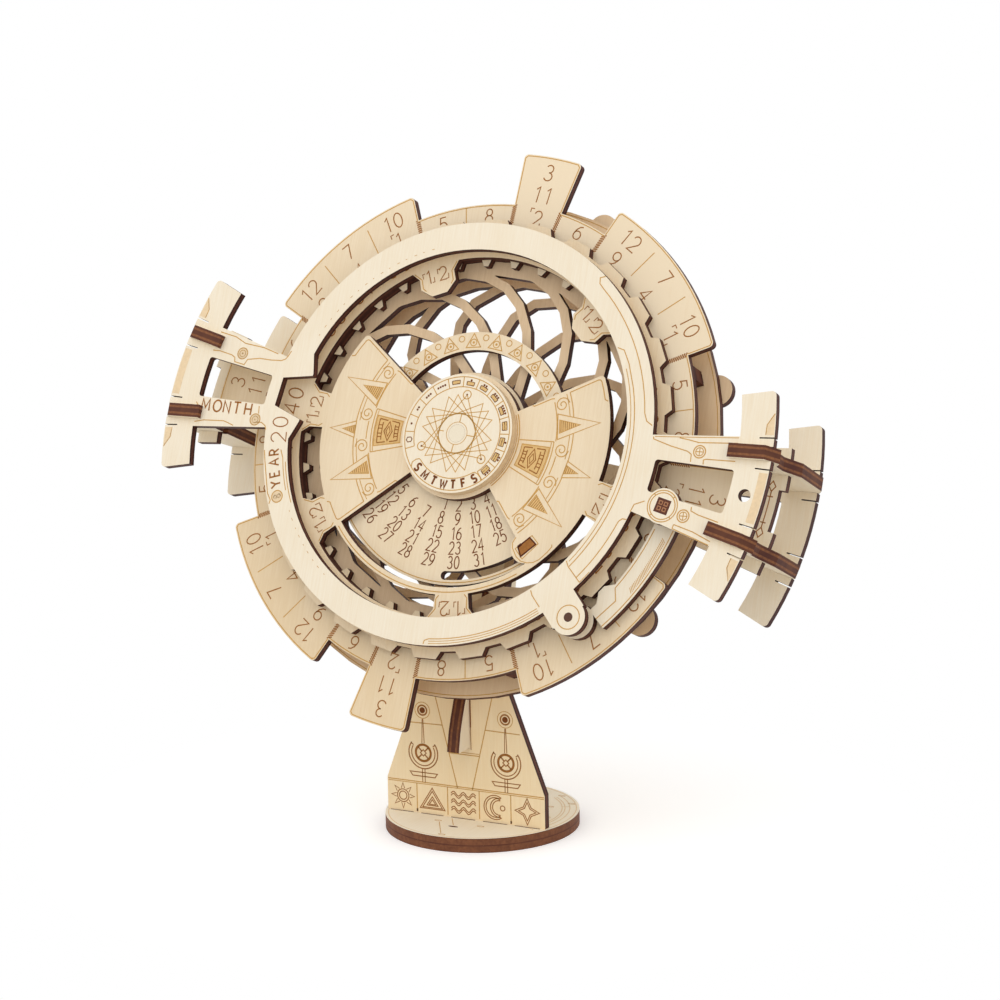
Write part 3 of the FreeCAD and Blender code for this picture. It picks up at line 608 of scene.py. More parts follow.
class Engraving:
    """Lines burnt into one sheet, collected as thin closed strips sunk into its face."""

    rise = 0.035
    sink = 0.06

    def __init__(self, name: str, plane: Plane, burn: Burn, width: float) -> None:
        """Starts an empty engraving.

        Args:
            name: Name of the finished piece.
            plane: The face that it lies in.
            burn: How dark it is.
            width: Usual width of a line, in mm.
        """
        self.name = name
        self.plane = plane
        self.finish = BurnFinish(burn).material()
        self.width = width
        self.mesh = bmesh.new()

    def prism(self, left: list[Point], right: list[Point], closed: bool) -> None:
        """Adds one closed strip between two edges.

        Args:
            left: Points of the left edge.
            right: Points of the right edge.
            closed: Whether the strip runs back into its start.
        """
        rings = []
        for (left_x, left_y), (right_x, right_y) in zip(left, right):
            rings.append([self.mesh.verts.new(corner) for corner in (
                (left_x, left_y, self.rise), (right_x, right_y, self.rise),
                (right_x, right_y, -self.sink), (left_x, left_y, -self.sink))])
        pairs = list(zip(rings, rings[1:]))
        if closed:
            pairs.append((rings[-1], rings[0]))
        for first, second in pairs:
            for side in range(4):
                other = (side + 1) % 4
                self.mesh.faces.new((first[side], first[other], second[other], second[side]))
        if not closed:
            self.mesh.faces.new(rings[0][::-1])
            self.mesh.faces.new(rings[-1])

    def stroke(self, points: list[Point], width: float | None = None, closed: bool = False) -> None:
        """Adds a line of even width with mitred corners.

        Args:
            points: Points of its middle, in mm.
            width: Its width, or None for the usual one.
            closed: Whether it is a loop, whose last point isn't repeated.
        """
        half = (width or self.width) / 2
        count = len(points)
        left, right = [], []
        for index, point in enumerate(points):
            here = Vector(point)
            before = Vector(points[index - 1]) if index or closed else None
            after = Vector(points[(index + 1) % count]) if index + 1 < count or closed else None
            first = (here - before).normalized() if before is not None else None
            second = (after - here).normalized() if after is not None else None
            first = first or second
            second = second or first
            along = (first + second).normalized() if (first + second).length > 0.1 else second
            side = Vector((-along.y, along.x))
            reach = half / max(side.dot(Vector((-second.y, second.x))), 0.5)
            left.append(tuple(here + side * reach))
            right.append(tuple(here - side * reach))
        self.prism(left, right, closed)

    def loop(self, centre: Point, radius: float, width: float | None = None, count: int = 20) -> None:
        """Adds a circle.

        Args:
            centre: Its middle.
            radius: Its radius.
            width: Line width, or None for the usual one.
            count: Number of sides.
        """
        self.stroke(arc(centre, (radius, radius), 0.0, FULL_TURN, count)[:-1], width, True)

    def ring_line(self, radius: float, start: float, end: float, width: float | None = None,
                  step: float = 3.0) -> None:
        """Adds an arc about the dial's middle.

        Args:
            radius: Its radius.
            start: First clock angle.
            end: Last clock angle.
            width: Line width, or None for the usual one.
            step: Longest stretch between points, in degrees.
        """
        count = max(2, math.ceil(abs(end - start) / step))
        whole = abs(abs(end - start) - FULL_TURN) < 0.01
        spots = range(count if whole else count + 1)
        self.stroke([polar(radius, start + (end - start) * index / count) for index in spots], width, whole)

    def ray(self, clock: float, inner: float, outer: float, width: float | None = None) -> None:
        """Adds a straight line along a radius.

        Args:
            clock: Its clock angle.
            inner: Radius where it starts.
            outer: Radius where it ends.
            width: Line width, or None for the usual one.
        """
        self.stroke([polar(inner, clock), polar(outer, clock)], width)

    def outline(self, points: list[Point], width: float | None = None) -> None:
        """Adds a closed line through points."""
        self.stroke(points, width, True)

    def course(self, spots: list[Point], width: float | None = None) -> None:
        """Adds a line through (radius, clock angle) spots of the dial."""
        self.stroke([polar(radius, clock) for radius, clock in spots], width)

    def curl(self, centre: Point, radius: float, start: float, turns: float) -> None:
        """Adds a spiral that winds inwards.

        Args:
            centre: Its middle.
            radius: Its outer radius.
            start: Angle of its outer end in degrees, anticlockwise from the right.
            turns: Number of turns, negative for clockwise ones.
        """
        count = math.ceil(abs(turns) * 14)
        points = []
        for index in range(count + 1):
            share = index / count
            angle = math.radians(start + FULL_TURN * turns * share)
            reach = radius * (1.0 - 0.82 * share)
            points.append((centre[0] + reach * math.cos(angle), centre[1] + reach * math.sin(angle)))
        self.stroke(points)

    def patch(self, points: list[Point]) -> None:
        """Adds a filled area with a straight-edged outline.

        Args:
            points: Its corners, anticlockwise.
        """
        top = [self.mesh.verts.new((x, y, self.rise)) for x, y in points]
        low = [self.mesh.verts.new((x, y, -self.sink)) for x, y in points]
        self.mesh.faces.new(top)
        self.mesh.faces.new(low[::-1])
        count = len(points)
        for index in range(count):
            other = (index + 1) % count
            self.mesh.faces.new((top[index], low[index], low[other], top[other]))

    def dot(self, centre: Point, radius: float, count: int = 10) -> None:
        """Adds a filled round spot."""
        self.patch(arc(centre, (radius, radius), 0.0, FULL_TURN, count)[:-1])

    def word(self, letters: str, centre: Point, height: float, up_clock: float,
             width: float | None = None, gap: float = 0.22, squeeze: float = 1.0) -> None:
        """Writes letters with their tops towards a clock angle.

        Args:
            letters: What to write.
            centre: Middle of the word.
            height: Height of the letters.
            up_clock: Clock angle that their tops point to.
            width: Line width, or None for the usual one.
            gap: Space between letters, in units of their height.
            squeeze: Share of the usual width that the word gets.
        """
        angle = math.radians(up_clock)
        up = Vector((math.sin(angle), math.cos(angle)))
        across = Vector((up.y, -up.x))
        for stroke in FONT.strokes(letters, gap):
            placed = []
            for x, y in stroke:
                place = Vector(centre) + across * (x * height * squeeze) + up * (y * height)
                placed.append(tuple(place))
            whole = len(placed) > 3 and (Vector(placed[0]) - Vector(placed[-1])).length < 0.001
            self.stroke(placed[:-1] if whole else placed, width, whole)

    def repeat(self, motif: "Engraving", pattern: RingPattern, count: int, start: float, step: float) -> None:
        """Adds copies of another engraving, turned about the dial's middle.

        Args:
            motif: What is repeated, drawn at clock angle zero; it is used up.
            pattern: The tree that repeats it.
            count: Number of copies.
            start: Clock angle of the first.
            step: Clock angle between copies.
        """
        mesh = bpy.data.meshes.new("motif")
        motif.mesh.to_mesh(mesh)
        motif.mesh.free()
        made = pattern.spread(mesh, count, start, step, self.finish)
        self.mesh.from_mesh(made)
        bpy.data.meshes.remove(made)
        bpy.data.meshes.remove(mesh)

    def finished(self, body: str) -> bpy.types.Object:
        """Makes the piece and lets it ride on its body.

        Args:
            body: Name of the body.

        Returns:
            The finished piece.
        """
        bmesh.ops.recalc_face_normals(self.mesh, faces=self.mesh.faces)
        data = bpy.data.meshes.new(self.name)
        self.mesh.to_mesh(data)
        self.mesh.free()
        data.transform(self.plane.matrix())
        data.materials.clear()
        data.materials.append(self.finish)
        for polygon in data.polygons:
            polygon.material_index = 0
        piece = bpy.data.objects.new(self.name, data)
        bpy.context.scene.collection.objects.link(piece)
        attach(piece, body)
        LOG.info("%s: %d faces on %s", self.name, len(data.polygons), body)
        return piece


@dataclass
class Workshop:
    """What the sub-assemblies share: the frame's nodes, the dial's axes and the ring pattern."""

    nodes: dict[str, bpy.types.Object]
    pattern: RingPattern
    dial_tilt: float = 22.6
    dial_origin: tuple[float, float, float] = (0.0, -15.8, 141.4)
    seeds: int = 0

    def dial(self, depth: float = 0.0) -> Plane:
        """Sets out a sheet of the dial.

        Args:
            depth: Where its front face lies, in mm before the ring's face.

        Returns:
            The sheet's axes.
        """
        tilt = math.radians(self.dial_tilt)
        plane = Plane(self.dial_origin, (1.0, 0.0, 0.0), (0.0, math.sin(tilt), math.cos(tilt)))
        return plane.raised(depth)

    def dress(self, name: str, plane: Plane, tone: Tone, edge: Edge = Edge.CHARRED, sheets: int = 1,
              lean: Point = (0.0, 0.0)) -> None:
        """Gives a node of the frame its plywood, measured along the sheet's normal.

        Args:
            name: The node.
            plane: The sheet's axes.
            tone: How light it is.
            edge: How its cut edges look.
            sheets: Number of sheets that it is glued up from.
            lean: How much browner it gets per mm along the sheet's x and y; painted shade that darkens a
                sheet towards its shaded side.
        """
        node = self.nodes[name]
        into = plane.matrix().inverted()
        depths = [(into @ vertex.co).z for vertex in node.data.vertices]
        self.seeds += 1
        finish = PlyFinish(tone, edge, sheets, seed=37.0 * self.seeds, lean=lean)
        self.assign(node, finish.material("ply_" + name, plane, min(depths), max(depths)))

    def dress_dowel(self, name: str, plane: Plane, finish: DowelFinish = DowelFinish()) -> None:
        """Gives a node of the frame its dowel wood."""
        self.assign(self.nodes[name], finish.material("dowel_" + name, plane))

    def assign(self, node: bpy.types.Object, material: bpy.types.Material) -> None:
        """Puts one material into every slot of a node.

        Args:
            node: The node.
            material: The material.
        """
        if not node.material_slots:
            node.data.materials.append(material)
        for slot in node.material_slots:
            slot.material = material


@dataclass
class Stand:
    """Round base, slotted panel and the upright spine."""

    shop: Workshop
    base_top: float = 5.0
    panel_face: float = 12.6
    slot_x: float = 2.7
    slot_top: float = 60.6
    slot_floor: float = 38.0
    cross_z: float = 28.0
    step_z: float = 37.6
    step_end: Point = (21.6, 37.4)
    sign_low: float = 5.6
    sign_middle: float = 10.5
    sign_high: float = 15.7
    sign_reach: float = 30.4
    sign_edges: tuple[float, ...] = (-30.2, -19.0, -6.9, 5.5, 17.7, 30.2)
    fold_low: Point = (2.9, 15.7)
    fold_high: Point = (13.9, 60.0)
    pendant_x: float = 16.1
    pendant_z: float = 26.8
    stud_z: float = 42.1

    def dress(self) -> None:
        """Gives the stand's nodes their finishes."""
        ground = Plane((0.0, 0.0, 0.0), (1.0, 0.0, 0.0), (0.0, 1.0, 0.0))
        upright = Plane((0.0, 0.0, 0.0), (1.0, 0.0, 0.0), (0.0, 0.0, 1.0))
        across = Plane((0.0, 0.0, 0.0), (0.0, 1.0, 0.0), (0.0, 0.0, 1.0))
        # Partly painted light: the base discs' pale tone is lifted to make up for the dial's shade on the
        # base top.
        for name in ("base_disc_lower", "base_disc_upper"):
            self.shop.dress(name, ground, Tone.PALE, Edge.BROWN)
        self.shop.dress("stand_panel", upright, Tone.GOLDEN)
        self.shop.dress("stand_spine", across, Tone.CREAM, Edge.STREAKED, 2)

    def engrave(self) -> None:
        """Burns the stand's lines."""
        face = Plane((0.0, -self.panel_face, 0.0), (1.0, 0.0, 0.0), (0.0, 0.0, 1.0))
        lines = Engraving("panel_lines", face, Burn.FINE, 0.36)
        self.draw_folds(lines)
        self.draw_sign_frames(lines)
        lines.finished("frame")
        signs = Engraving("panel_signs", face, Burn.LINE, 0.34)
        for side in BOTH_SIDES:
            self.draw_pendant(signs, side * self.pendant_x)
        self.draw_signs(signs)
        signs.finished("frame")
        self.engrave_studs(face)
        self.engrave_base()

    def engrave_studs(self, face: Plane) -> None:
        """Burns the studs above the pendants and two dashes at the foot, and paints the slot's shadow as a
        dark line.

        Args:
            face: The panel's face.
        """
        studs = Engraving("panel_studs_and_slot_shadow", face, Burn.DEEP, 0.9)
        for side in BOTH_SIDES:
            studs.dot((side * self.pendant_x, self.stud_z), 1.1, 12)
        # Painted shadow: a dark line down the slot stands in for the shade inside it, with a thin one running
        # on below its floor.
        studs.stroke([(self.slot_x, self.slot_top), (self.slot_x, self.slot_floor)], 0.5)
        studs.stroke([(self.slot_x, self.slot_floor), (self.slot_x + 0.05, self.slot_floor - 8.0)], 0.25)
        for edge in (self.sign_edges[1], self.sign_edges[4]):
            studs.stroke([(edge, self.sign_low - 0.2), (edge, self.sign_low + 0.8)], 0.6)
        studs.finished("frame")

    def draw_folds(self, lines: Engraving) -> None:
        """Draws the panel's leaning lines, cross lines and the line under the spine.

        Args:
            lines: The engraving that they go into.
        """
        (low_x, low_z), (high_x, high_z) = self.fold_low, self.fold_high
        slope = (high_x - low_x) / (high_z - low_z)
        for side in BOTH_SIDES:
            lines.stroke([(side * low_x, low_z), (side * high_x, high_z)])
            step_x = low_x + slope * (self.step_z - low_z)
            lines.stroke([(side * step_x, self.step_z), (side * self.step_end[0], self.step_end[1])])
            lines.loop((side * self.pendant_x, self.stud_z), 2.9, 0.25, 28)
        reach = low_x + slope * (self.cross_z - low_z)
        lines.stroke([(-reach, self.cross_z), (reach, self.cross_z)])
        lines.stroke([(-reach + 0.2, self.cross_z + 0.7), (reach - 0.2, self.cross_z + 0.7)], 0.25)
        for x in (6.4, 9.6, 12.2):
            lines.stroke(arc((x, 58.6), (1.1, 0.8), 20, 160, 6), 0.3)

    def draw_sign_frames(self, lines: Engraving) -> None:
        """Draws the row of square fields along the foot.

        Args:
            lines: The engraving that they go into.
        """
        for height, width in ((16.2, None), (15.6, 0.26)):
            lines.stroke([(-self.sign_reach, height), (self.sign_reach, height)], width)
        for edge in self.sign_edges[1:-1]:
            lines.stroke([(edge, self.sign_high), (edge, self.sign_low)])

    def draw_pendant(self, signs: Engraving, x: float) -> None:
        """Draws one hanging ornament: stem, wheel with a diamond, crescent and crossbar.

        Args:
            signs: The engraving that it goes into.
            x: Its middle.
        """
        z = self.pendant_z
        wheel = (x, z)
        for side in BOTH_SIDES:
            signs.stroke([(x + side * 0.15, z + 12.2), (x + side * 0.45, z + 3.5)], 0.28)
        signs.loop((x, self.stud_z), 1.75, 0.55)
        signs.loop(wheel, 2.95, 0.85, 28)
        signs.outline([(x - 1.15, z), (x, z - 1.15), (x + 1.15, z), (x, z + 1.15)], 0.36)
        for turn in DIAGONALS:
            signs.stroke([spot(wheel, 0.9, turn), spot(wheel, 2.8, turn)], 0.5)
        signs.stroke(arc(wheel, (4.6, 4.6), 150, 390, 24), 0.36)
        signs.stroke(arc(wheel, (5.7, 5.7), 142, 398, 26), 0.42)
        for end in (146.0, 394.0):
            signs.stroke([spot(wheel, 4.6, end), spot(wheel, 5.8, end)], 0.36)
        for side in BOTH_SIDES:
            signs.stroke([(x + side * 0.5, z - 5.8), (x + side * 0.5, z - 10.6)], 0.3)
        signs.outline([(x - 5.4, z - 7.1), (x + 5.4, z - 7.1), (x + 4.4, z - 8.5), (x - 4.4, z - 8.5)], 0.36)

    def draw_signs(self, signs: Engraving) -> None:
        """Fills the five fields of the foot with plain signs.

        Args:
            signs: The engraving that they go into.
        """
        draws = (self.draw_sun, self.draw_hill, self.draw_wave, self.draw_moon, self.draw_star)
        for draw, left, right in zip(draws, self.sign_edges, self.sign_edges[1:]):
            draw(signs, ((left + right) / 2, self.sign_middle))

    def draw_sun(self, signs: Engraving, middle: Point) -> None:
        """Draws two circles with eight rays.

        Args:
            signs: The engraving that they go into.
            middle: Middle of the field.
        """
        for radius in (1.5, 2.3):
            signs.loop(middle, radius)
        for turn in range(0, 360, 45):
            foot, other = spot(middle, 2.7, turn - 14), spot(middle, 2.7, turn + 14)
            signs.stroke([foot, spot(middle, 4.6, turn), other], 0.28)

    def draw_hill(self, signs: Engraving, middle: Point) -> None:
        """Draws nested triangles.

        Args:
            signs: The engraving that they go into.
            middle: Middle of the field.
        """
        widest = 4.9
        for size in (widest, 3.9, 2.2, 1.3):
            foot = middle[1] - 3.6 + (widest - size) * 0.45
            signs.outline([(middle[0] - size, foot), (middle[0] + size, foot),
                           (middle[0], foot - 0.3 + size * 1.6)])

    def draw_wave(self, signs: Engraving, middle: Point) -> None:
        """Draws three double waves.

        Args:
            signs: The engraving that they go into.
            middle: Middle of the field.
        """
        for height in (-3.1, -2.3, -0.4, 0.4, 2.3, 3.1):
            signs.stroke([(middle[0] - 4.8 + step * 0.6, middle[1] + height + 0.8 * math.sin(step * 0.98))
                          for step in range(17)])

    def draw_moon(self, signs: Engraving, middle: Point) -> None:
        """Draws a double crescent with a small circle before it.

        Args:
            signs: The engraving that they go into.
            middle: Middle of the field.
        """
        hollow = (middle[0] + 1.6, middle[1])
        for reach in (4.3, 3.5):
            signs.stroke(arc(middle, (reach, reach), 55, 305, 20))
            signs.stroke(arc(hollow, (reach - 0.9, reach - 0.9), 80, 280, 16))
        signs.loop((middle[0] + 2.9, middle[1]), 0.9, count=12)

    def draw_star(self, signs: Engraving, middle: Point) -> None:
        """Draws two nested stars with four tips.

        Args:
            signs: The engraving that they go into.
            middle: Middle of the field.
        """
        for reach in (4.7, 3.3):
            reaches = (reach, reach * 0.45) * 4
            signs.outline([spot(middle, radius, 90 + tip * 45) for tip, radius in enumerate(reaches)])

    def engrave_base(self) -> None:
        """Burns the faint arcs, the dashes along the panel's foot and the small marks on the base."""
        top = Plane((0.0, 0.0, self.base_top), (1.0, 0.0, 0.0), (0.0, 1.0, 0.0))
        rings = Engraving("base_lines", top, Burn.SHADE, 0.34)
        rings.ring_line(32.9, 0.0, FULL_TURN)
        for start, end in ((38.0, 105.0), (255.0, 322.0)):
            for radius in (30.6, 28.9, 27.9):
                rings.ring_line(radius, start, end)
        mark = Engraving("base_mark", top, Burn.SHADE, 0.34)
        mark.ray(28.0, 27.9, 30.6)
        mark.ray(-28.0, 27.9, 30.6)
        mark.loop(polar(25.2, 0.0), 1.1, 0.34, 14)
        rings.repeat(mark, self.shop.pattern, 2, 90.0, 180.0)
        rings.finished("frame")
        joint = Engraving("base_joint", top, Burn.DARK, 0.45)
        foot = -self.panel_face - 0.25
        for left, right in ((-29.6, -20.4), (-17.4, -8.6), (-5.6, 3.8), (7.0, 16.2), (19.2, 28.8)):
            joint.stroke([(left, foot), (right, foot)])
        joint.patch(arc((0.2, -22.1), (1.9, 0.55), 0.0, FULL_TURN, 14)[:-1])
        joint.finished("frame")
        faint = Engraving("base_marks", top, Burn.FINE, 0.24)
        faint.stroke([(-6.8, -19.2), (-0.1, -30.5)])
        faint.stroke([(-4.5, -14.2), (-0.5, -20.7)])
        for place in ((-7.9, -18.0), (8.8, -18.3), (0.7, -31.3), (18.8, 25.0), (26.0, 17.8), (20.7, 11.8)):
            faint.outline(arc(place, (1.3, 0.5), 0.0, FULL_TURN, 12)[:-1])
        faint.finished("frame")


@dataclass
class RingFrame:
    """Front ring, rear frame and what joins them at both arms."""

    shop: Workshop
    arm_clock: float = 98.0
    rib_half_spread: float = 7.4
    arc_out: float = 114.9
    year_depth: float = -6.9
    mid_depth: float = -20.0
    lug: Point = (79.5, 138.0)
    square_boss: Point = (82.7, 104.3)
    tie_radius: float = 108.9
    ring_roundel: Point = (69.1, -112.9)
    left_roundels: tuple[Point, ...] = ((90.9, -75.2), (78.0, -90.2))
    right_roundels: tuple[Point, ...] = ((90.2, 91.2), (90.8, 104.8))
    peg_cell_pitch: float = 0.95
    peg_cell_half: float = 0.55

    def arms(self) -> tuple[tuple[str, float], ...]:
        """Name and clock angle of both arms."""
        return ("right", self.arm_clock), ("left", self.arm_clock + 180.0)

    def rib_plane(self, clock: float) -> Plane:
        """Axes of a rib that stands square to the dial along a radius.

        Args:
            clock: The rib's clock angle.

        Returns:
            The rib's plane: x outwards, y towards the viewer.
        """
        dial = self.shop.dial()
        flat = polar(1.0, clock)
        out = dial.turn() @ Vector((flat[0], flat[1], 0.0))
        return Plane(dial.origin, tuple(out), tuple(dial.normal()))

    def dress(self) -> None:
        """Gives the frame's nodes their finishes."""
        dial = self.shop.dial()
        self.shop.dress("front_ring", dial, Tone.CREAM)
        self.shop.dress("rear_frame", dial, Tone.CREAM)
        for name in ("click_arm", "lug_washer", "square_washer"):
            self.shop.dress(name, dial, Tone.CREAM)
        self.shop.dress("square_peg", dial, Tone.SCORCHED)
        burnt = DowelFinish(end=(0.110, 0.040, 0.018), end_speck=(0.060, 0.020, 0.010))
        self.shop.dress_dowel("lug_peg", dial, burnt)
        for side, clock in self.arms():
            self.shop.dress("arc_plate_mid_" + side, dial, Tone.CREAM)
            for mark, spread in (("a", -self.rib_half_spread), ("b", self.rib_half_spread)):
                plane = self.rib_plane(clock + spread)
                self.shop.dress(f"rib_{side}_{mark}", plane, Tone.CREAM, Edge.STREAKED, 2)

    def engrave(self) -> None:
        """Burns the frame's lines and words."""
        dial = self.shop.dial()
        lines = Engraving("ring_lines", dial, Burn.FINE, 0.34)
        self.draw_ring(lines)
        self.draw_left_arm(lines)
        self.draw_right_arm(lines)
        self.draw_lug(lines)
        lines.finished("frame")
        self.engrave_words(dial)
        self.engrave_shades(dial)
        self.engrave_click_arm()
        self.engrave_mid_arcs()

    def draw_ring(self, lines: Engraving) -> None:
        """Draws the fine lines that follow the ring's edges.

        Args:
            lines: The engraving that they go into.
        """
        lines.course([(64.1, 60.8), (65.9, 62.4), (66.2, 66.9), (66.2, 74.3)])
        lines.ring_line(66.2, 74.3, 130.0)
        lines.ring_line(64.9, 68.0, 129.0, 0.26)
        lines.course([(73.0, 40.7), (71.4, 39.8), (70.0, 41.0), (69.8, 43.0)])
        lines.ring_line(69.8, 43.0, 82.0)
        lines.course([(69.8, 82.0), (70.6, 84.2), (72.6, 85.4)])
        lines.course([(73.0, 110.6), (71.6, 110.9), (70.8, 112.0)])
        lines.ring_line(72.8, 127.0, 130.5, 0.26)
        lines.ring_line(70.8, 112.0, 130.5)
        for radius, width in ((72.4, 0.22), (71.6, 0.22), (70.8, 0.3)):
            lines.ring_line(radius, 144.0, 176.8, width)
        lines.course([(70.8, 176.8), (71.4, 178.0), (72.6, 178.2)])
        lines.ring_line(64.4, -103.0, -116.4, 0.3)
        lines.ring_line(65.4, -101.6, -112.0, 0.3)
        lines.course([(66.2, -99.0), (65.4, -101.6)])
        lines.course([(72.8, -98.6), (72.5, -101.8), (72.5, -111.0), (71.9, -113.2), (72.7, -114.1)])
        lines.course([(76.2, 104.6), (73.2, 106.3), (73.0, 108.4)])
        for first, last in ((-143, -118), (-62, -14)):
            for step in range(0, last - first, 3):
                lines.ring_line(65.8, first + step, first + step + 0.5 + step % 2 * 0.4, 0.2)

    def draw_ring_roundel(self, lines: Engraving) -> None:
        """Draws the roundel before the word YEAR: a circle with two eyes.

        Args:
            lines: The engraving that they go into.
        """
        radius, clock = self.ring_roundel
        lines.loop(polar(radius, clock), 2.1, 0.4)
        for side in BOTH_SIDES:
            lines.loop(polar(radius + side * 0.75, clock), 0.62, 0.36, 10)

    def draw_left_arm(self, lines: Engraving) -> None:
        """Draws the lines of the arm that carries the word MONTH.

        Args:
            lines: The engraving that they go into.
        """
        lines.course([(103.2, -76.6), (100.4, -76.3), (94.9, -76.3), (93.4, -76.6), (92.8, -77.5),
                      (88.6, -77.5), (88.0, -76.1), (83.4, -74.9), (78.8, -74.3), (74.6, -73.4),
                      (73.3, -72.6), (72.8, -71.6), (72.5, -69.9)])
        lines.course([(103.2, -72.7), (96.2, -72.4), (91.5, -72.9), (83.5, -72.1), (77.0, -72.1)])
        lines.course([(102.9, -91.3), (99.1, -90.9), (90.8, -90.9), (88.5, -91.4), (86.6, -91.9)])
        lines.course([(103.6, -87.3), (102.4, -88.1), (102.1, -89.7), (103.4, -90.7)])
        lines.course([(77.6, -90.9), (75.2, -90.9), (73.6, -91.7), (73.0, -92.8)])
        lines.course([(77.4, -86.6), (77.0, -88.6)])
        for roundel in self.left_roundels:
            centre = polar(*roundel)
            lines.loop(centre, 2.0, 0.4)
            lines.loop(centre, 1.2, 0.3, 14)
            lines.dot(centre, 0.35, 8)

    def draw_right_arm(self, lines: Engraving) -> None:
        """Draws the lines, roundels and boss circles of the right arm.

        Args:
            lines: The engraving that they go into.
        """
        lines.course([(73.5, 88.3), (73.6, 88.9), (79.9, 90.4), (86.0, 91.3), (87.5, 91.9), (87.7, 93.5)])
        lines.course([(82.6, 88.4), (86.0, 88.8), (89.5, 89.3), (102.9, 89.1)])
        lines.course([(74.0, 88.25), (88.0, 88.2), (103.0, 88.1)], 0.26)
        lines.course([(92.2, 93.7), (92.0, 92.8), (92.8, 92.6), (102.9, 92.4)])
        for roundel in self.right_roundels:
            centre = polar(*roundel)
            lines.loop(centre, 2.05, 0.4)
            lines.loop(centre, 1.35, 0.3, 14)
            lines.stroke([(centre[0] - 1.3, centre[1]), (centre[0] + 1.3, centre[1])], 0.28)
            lines.stroke([(centre[0], centre[1] - 1.3), (centre[0], centre[1] + 1.3)], 0.28)
        boss = polar(*self.square_boss)
        lines.loop(boss, 5.2, 0.34, 32)
        lines.loop(boss, 4.4, 0.34, 28)
        for turn in (40.0, 130.0, 220.0, 310.0):
            lines.stroke([spot(boss, 4.4, turn), spot(boss, 5.2, turn)])
        lines.course([(92.4, 102.5), (92.7, 103.3), (95.5, 103.6), (102.9, 103.7)])
        lines.course([(88.9, 107.1), (96.0, 107.0), (102.9, 107.4)])
        lines.course([(88.9, 107.1), (89.0, 108.0), (102.9, 108.1)])

    def draw_lug(self, lines: Engraving) -> None:
        """Draws the circle and root lines of the lug.

        Args:
            lines: The engraving that they go into.
        """
        centre = polar(*self.lug)
        lines.loop(centre, 3.95, 0.34, 32)
        lines.course([(64.1, 129.5), (66.0, 130.2), (72.9, 130.65)])
        lines.course([(64.2, 143.3), (66.0, 143.6), (70.8, 143.2)])

    def engrave_words(self, dial: Plane) -> None:
        """Burns the words and the century of the year.

        Args:
            dial: The ring's face.
        """
        words = Engraving("ring_words", dial, Burn.LINE, 0.5)
        for letter, radius in zip("MONTH", (99.4, 94.5, 90.5, 86.3, 81.6)):
            words.word(letter, polar(radius, -87.7), 4.1, 1.5, 0.62, squeeze=1.12)
        for letter, clock in zip("YEAR", (-109.2, -106.1, -102.6, -99.6)):
            words.word(letter, polar(68.9, clock), 3.7, clock, 0.6)
        for figure, clock in zip("20", (-95.1, -90.5)):
            words.word(figure, polar(67.5, clock), 6.0, clock, 0.42)
        words.finished("frame")

    def engrave_shades(self, dial: Plane) -> None:
        """Burns the light shaded bands on the arc plates, the roundels and the grid on the square peg.

        Args:
            dial: The ring's face.
        """
        shades = Engraving("arc_shades", dial, Burn.SHADE, 0.4)
        rims = Engraving("arc_shade_lines", dial, Burn.FINE, 0.3)
        outer = self.arc_out - 0.3
        for _, clock in self.arms():
            shades.patch(field_outline(self.arc_out - 3.2, outer, clock - 4.2, clock + 4.2)[::-1])
            for side in BOTH_SIDES:
                tip = [(outer, clock + side * 14.0), (self.arc_out - 2.8, clock + side * 12.2),
                       (self.arc_out - 3.0, clock + side * 10.5), (outer, clock + side * 10.5)]
                shades.patch([polar(*corner) for corner in (tip if side < 0 else tip[::-1])])
                rims.course(tip[:3])
        for roundel in (self.ring_roundel, *self.left_roundels):
            shades.dot(polar(*roundel), 1.95, 24)
        shades.finished("frame")
        self.draw_ring_roundel(rims)
        rims.finished("frame")
        self.engrave_peg_grid(dial)

    def engrave_peg_grid(self, dial: Plane) -> None:
        """Burns four small squares on the end of the square peg.

        Args:
            dial: The ring's face.
        """
        grid = Engraving("square_peg_grid", dial, Burn.SCRAPED, 0.3)
        turn = Matrix.Rotation(math.radians(self.square_boss[1]), 2)
        boss = Vector(polar(*self.square_boss))
        around = ((-1.0, -1.0), (1.0, -1.0), (1.0, 1.0), (-1.0, 1.0))
        for across, along in around:
            middle = Vector((across, along)) * self.peg_cell_pitch
            grid.outline([tuple(boss + (middle + Vector(corner) * self.peg_cell_half) @ turn)
                          for corner in around], 0.32)
        grid.finished("frame")

    def engrave_click_arm(self) -> None:
        """Burns the border and the hatched strip of the click arm."""
        lines = Engraving("click_arm_lines", self.shop.dial(self.year_depth), Burn.FINE, 0.34)
        lines.ring_line(86.5, 108.0, 134.0)
        lines.ring_line(80.3, 109.5, 126.0)
        lines.course([(80.3, 126.0), (83.5, 128.0), (83.2, 134.0)])
        for index in range(30):
            clock = 110.6 + index * 0.45
            lines.course([(84.1, clock), (85.8, clock + 0.75)], 0.24)
        lines.finished("frame")

    def engrave_mid_arcs(self) -> None:
        """Burns a plain ornament on the right tie between the ribs: a line with a diamond at each end."""
        lines = Engraving("mid_arc_lines", self.shop.dial(self.mid_depth), Burn.LINE, 0.36)
        middle, clock = self.tie_radius, self.arm_clock
        lines.ring_line(middle, clock - 3.2, clock + 3.2)
        for side in BOTH_SIDES:
            lines.outline([polar(middle, clock + side * 3.2), polar(middle + 1.2, clock + side * 4.1),
                           polar(middle, clock + side * 5.0), polar(middle - 1.2, clock + side * 4.1)])
            lines.ray(clock + side * 2.3, middle - 1.0, middle + 1.0)
        lines.finished("frame")


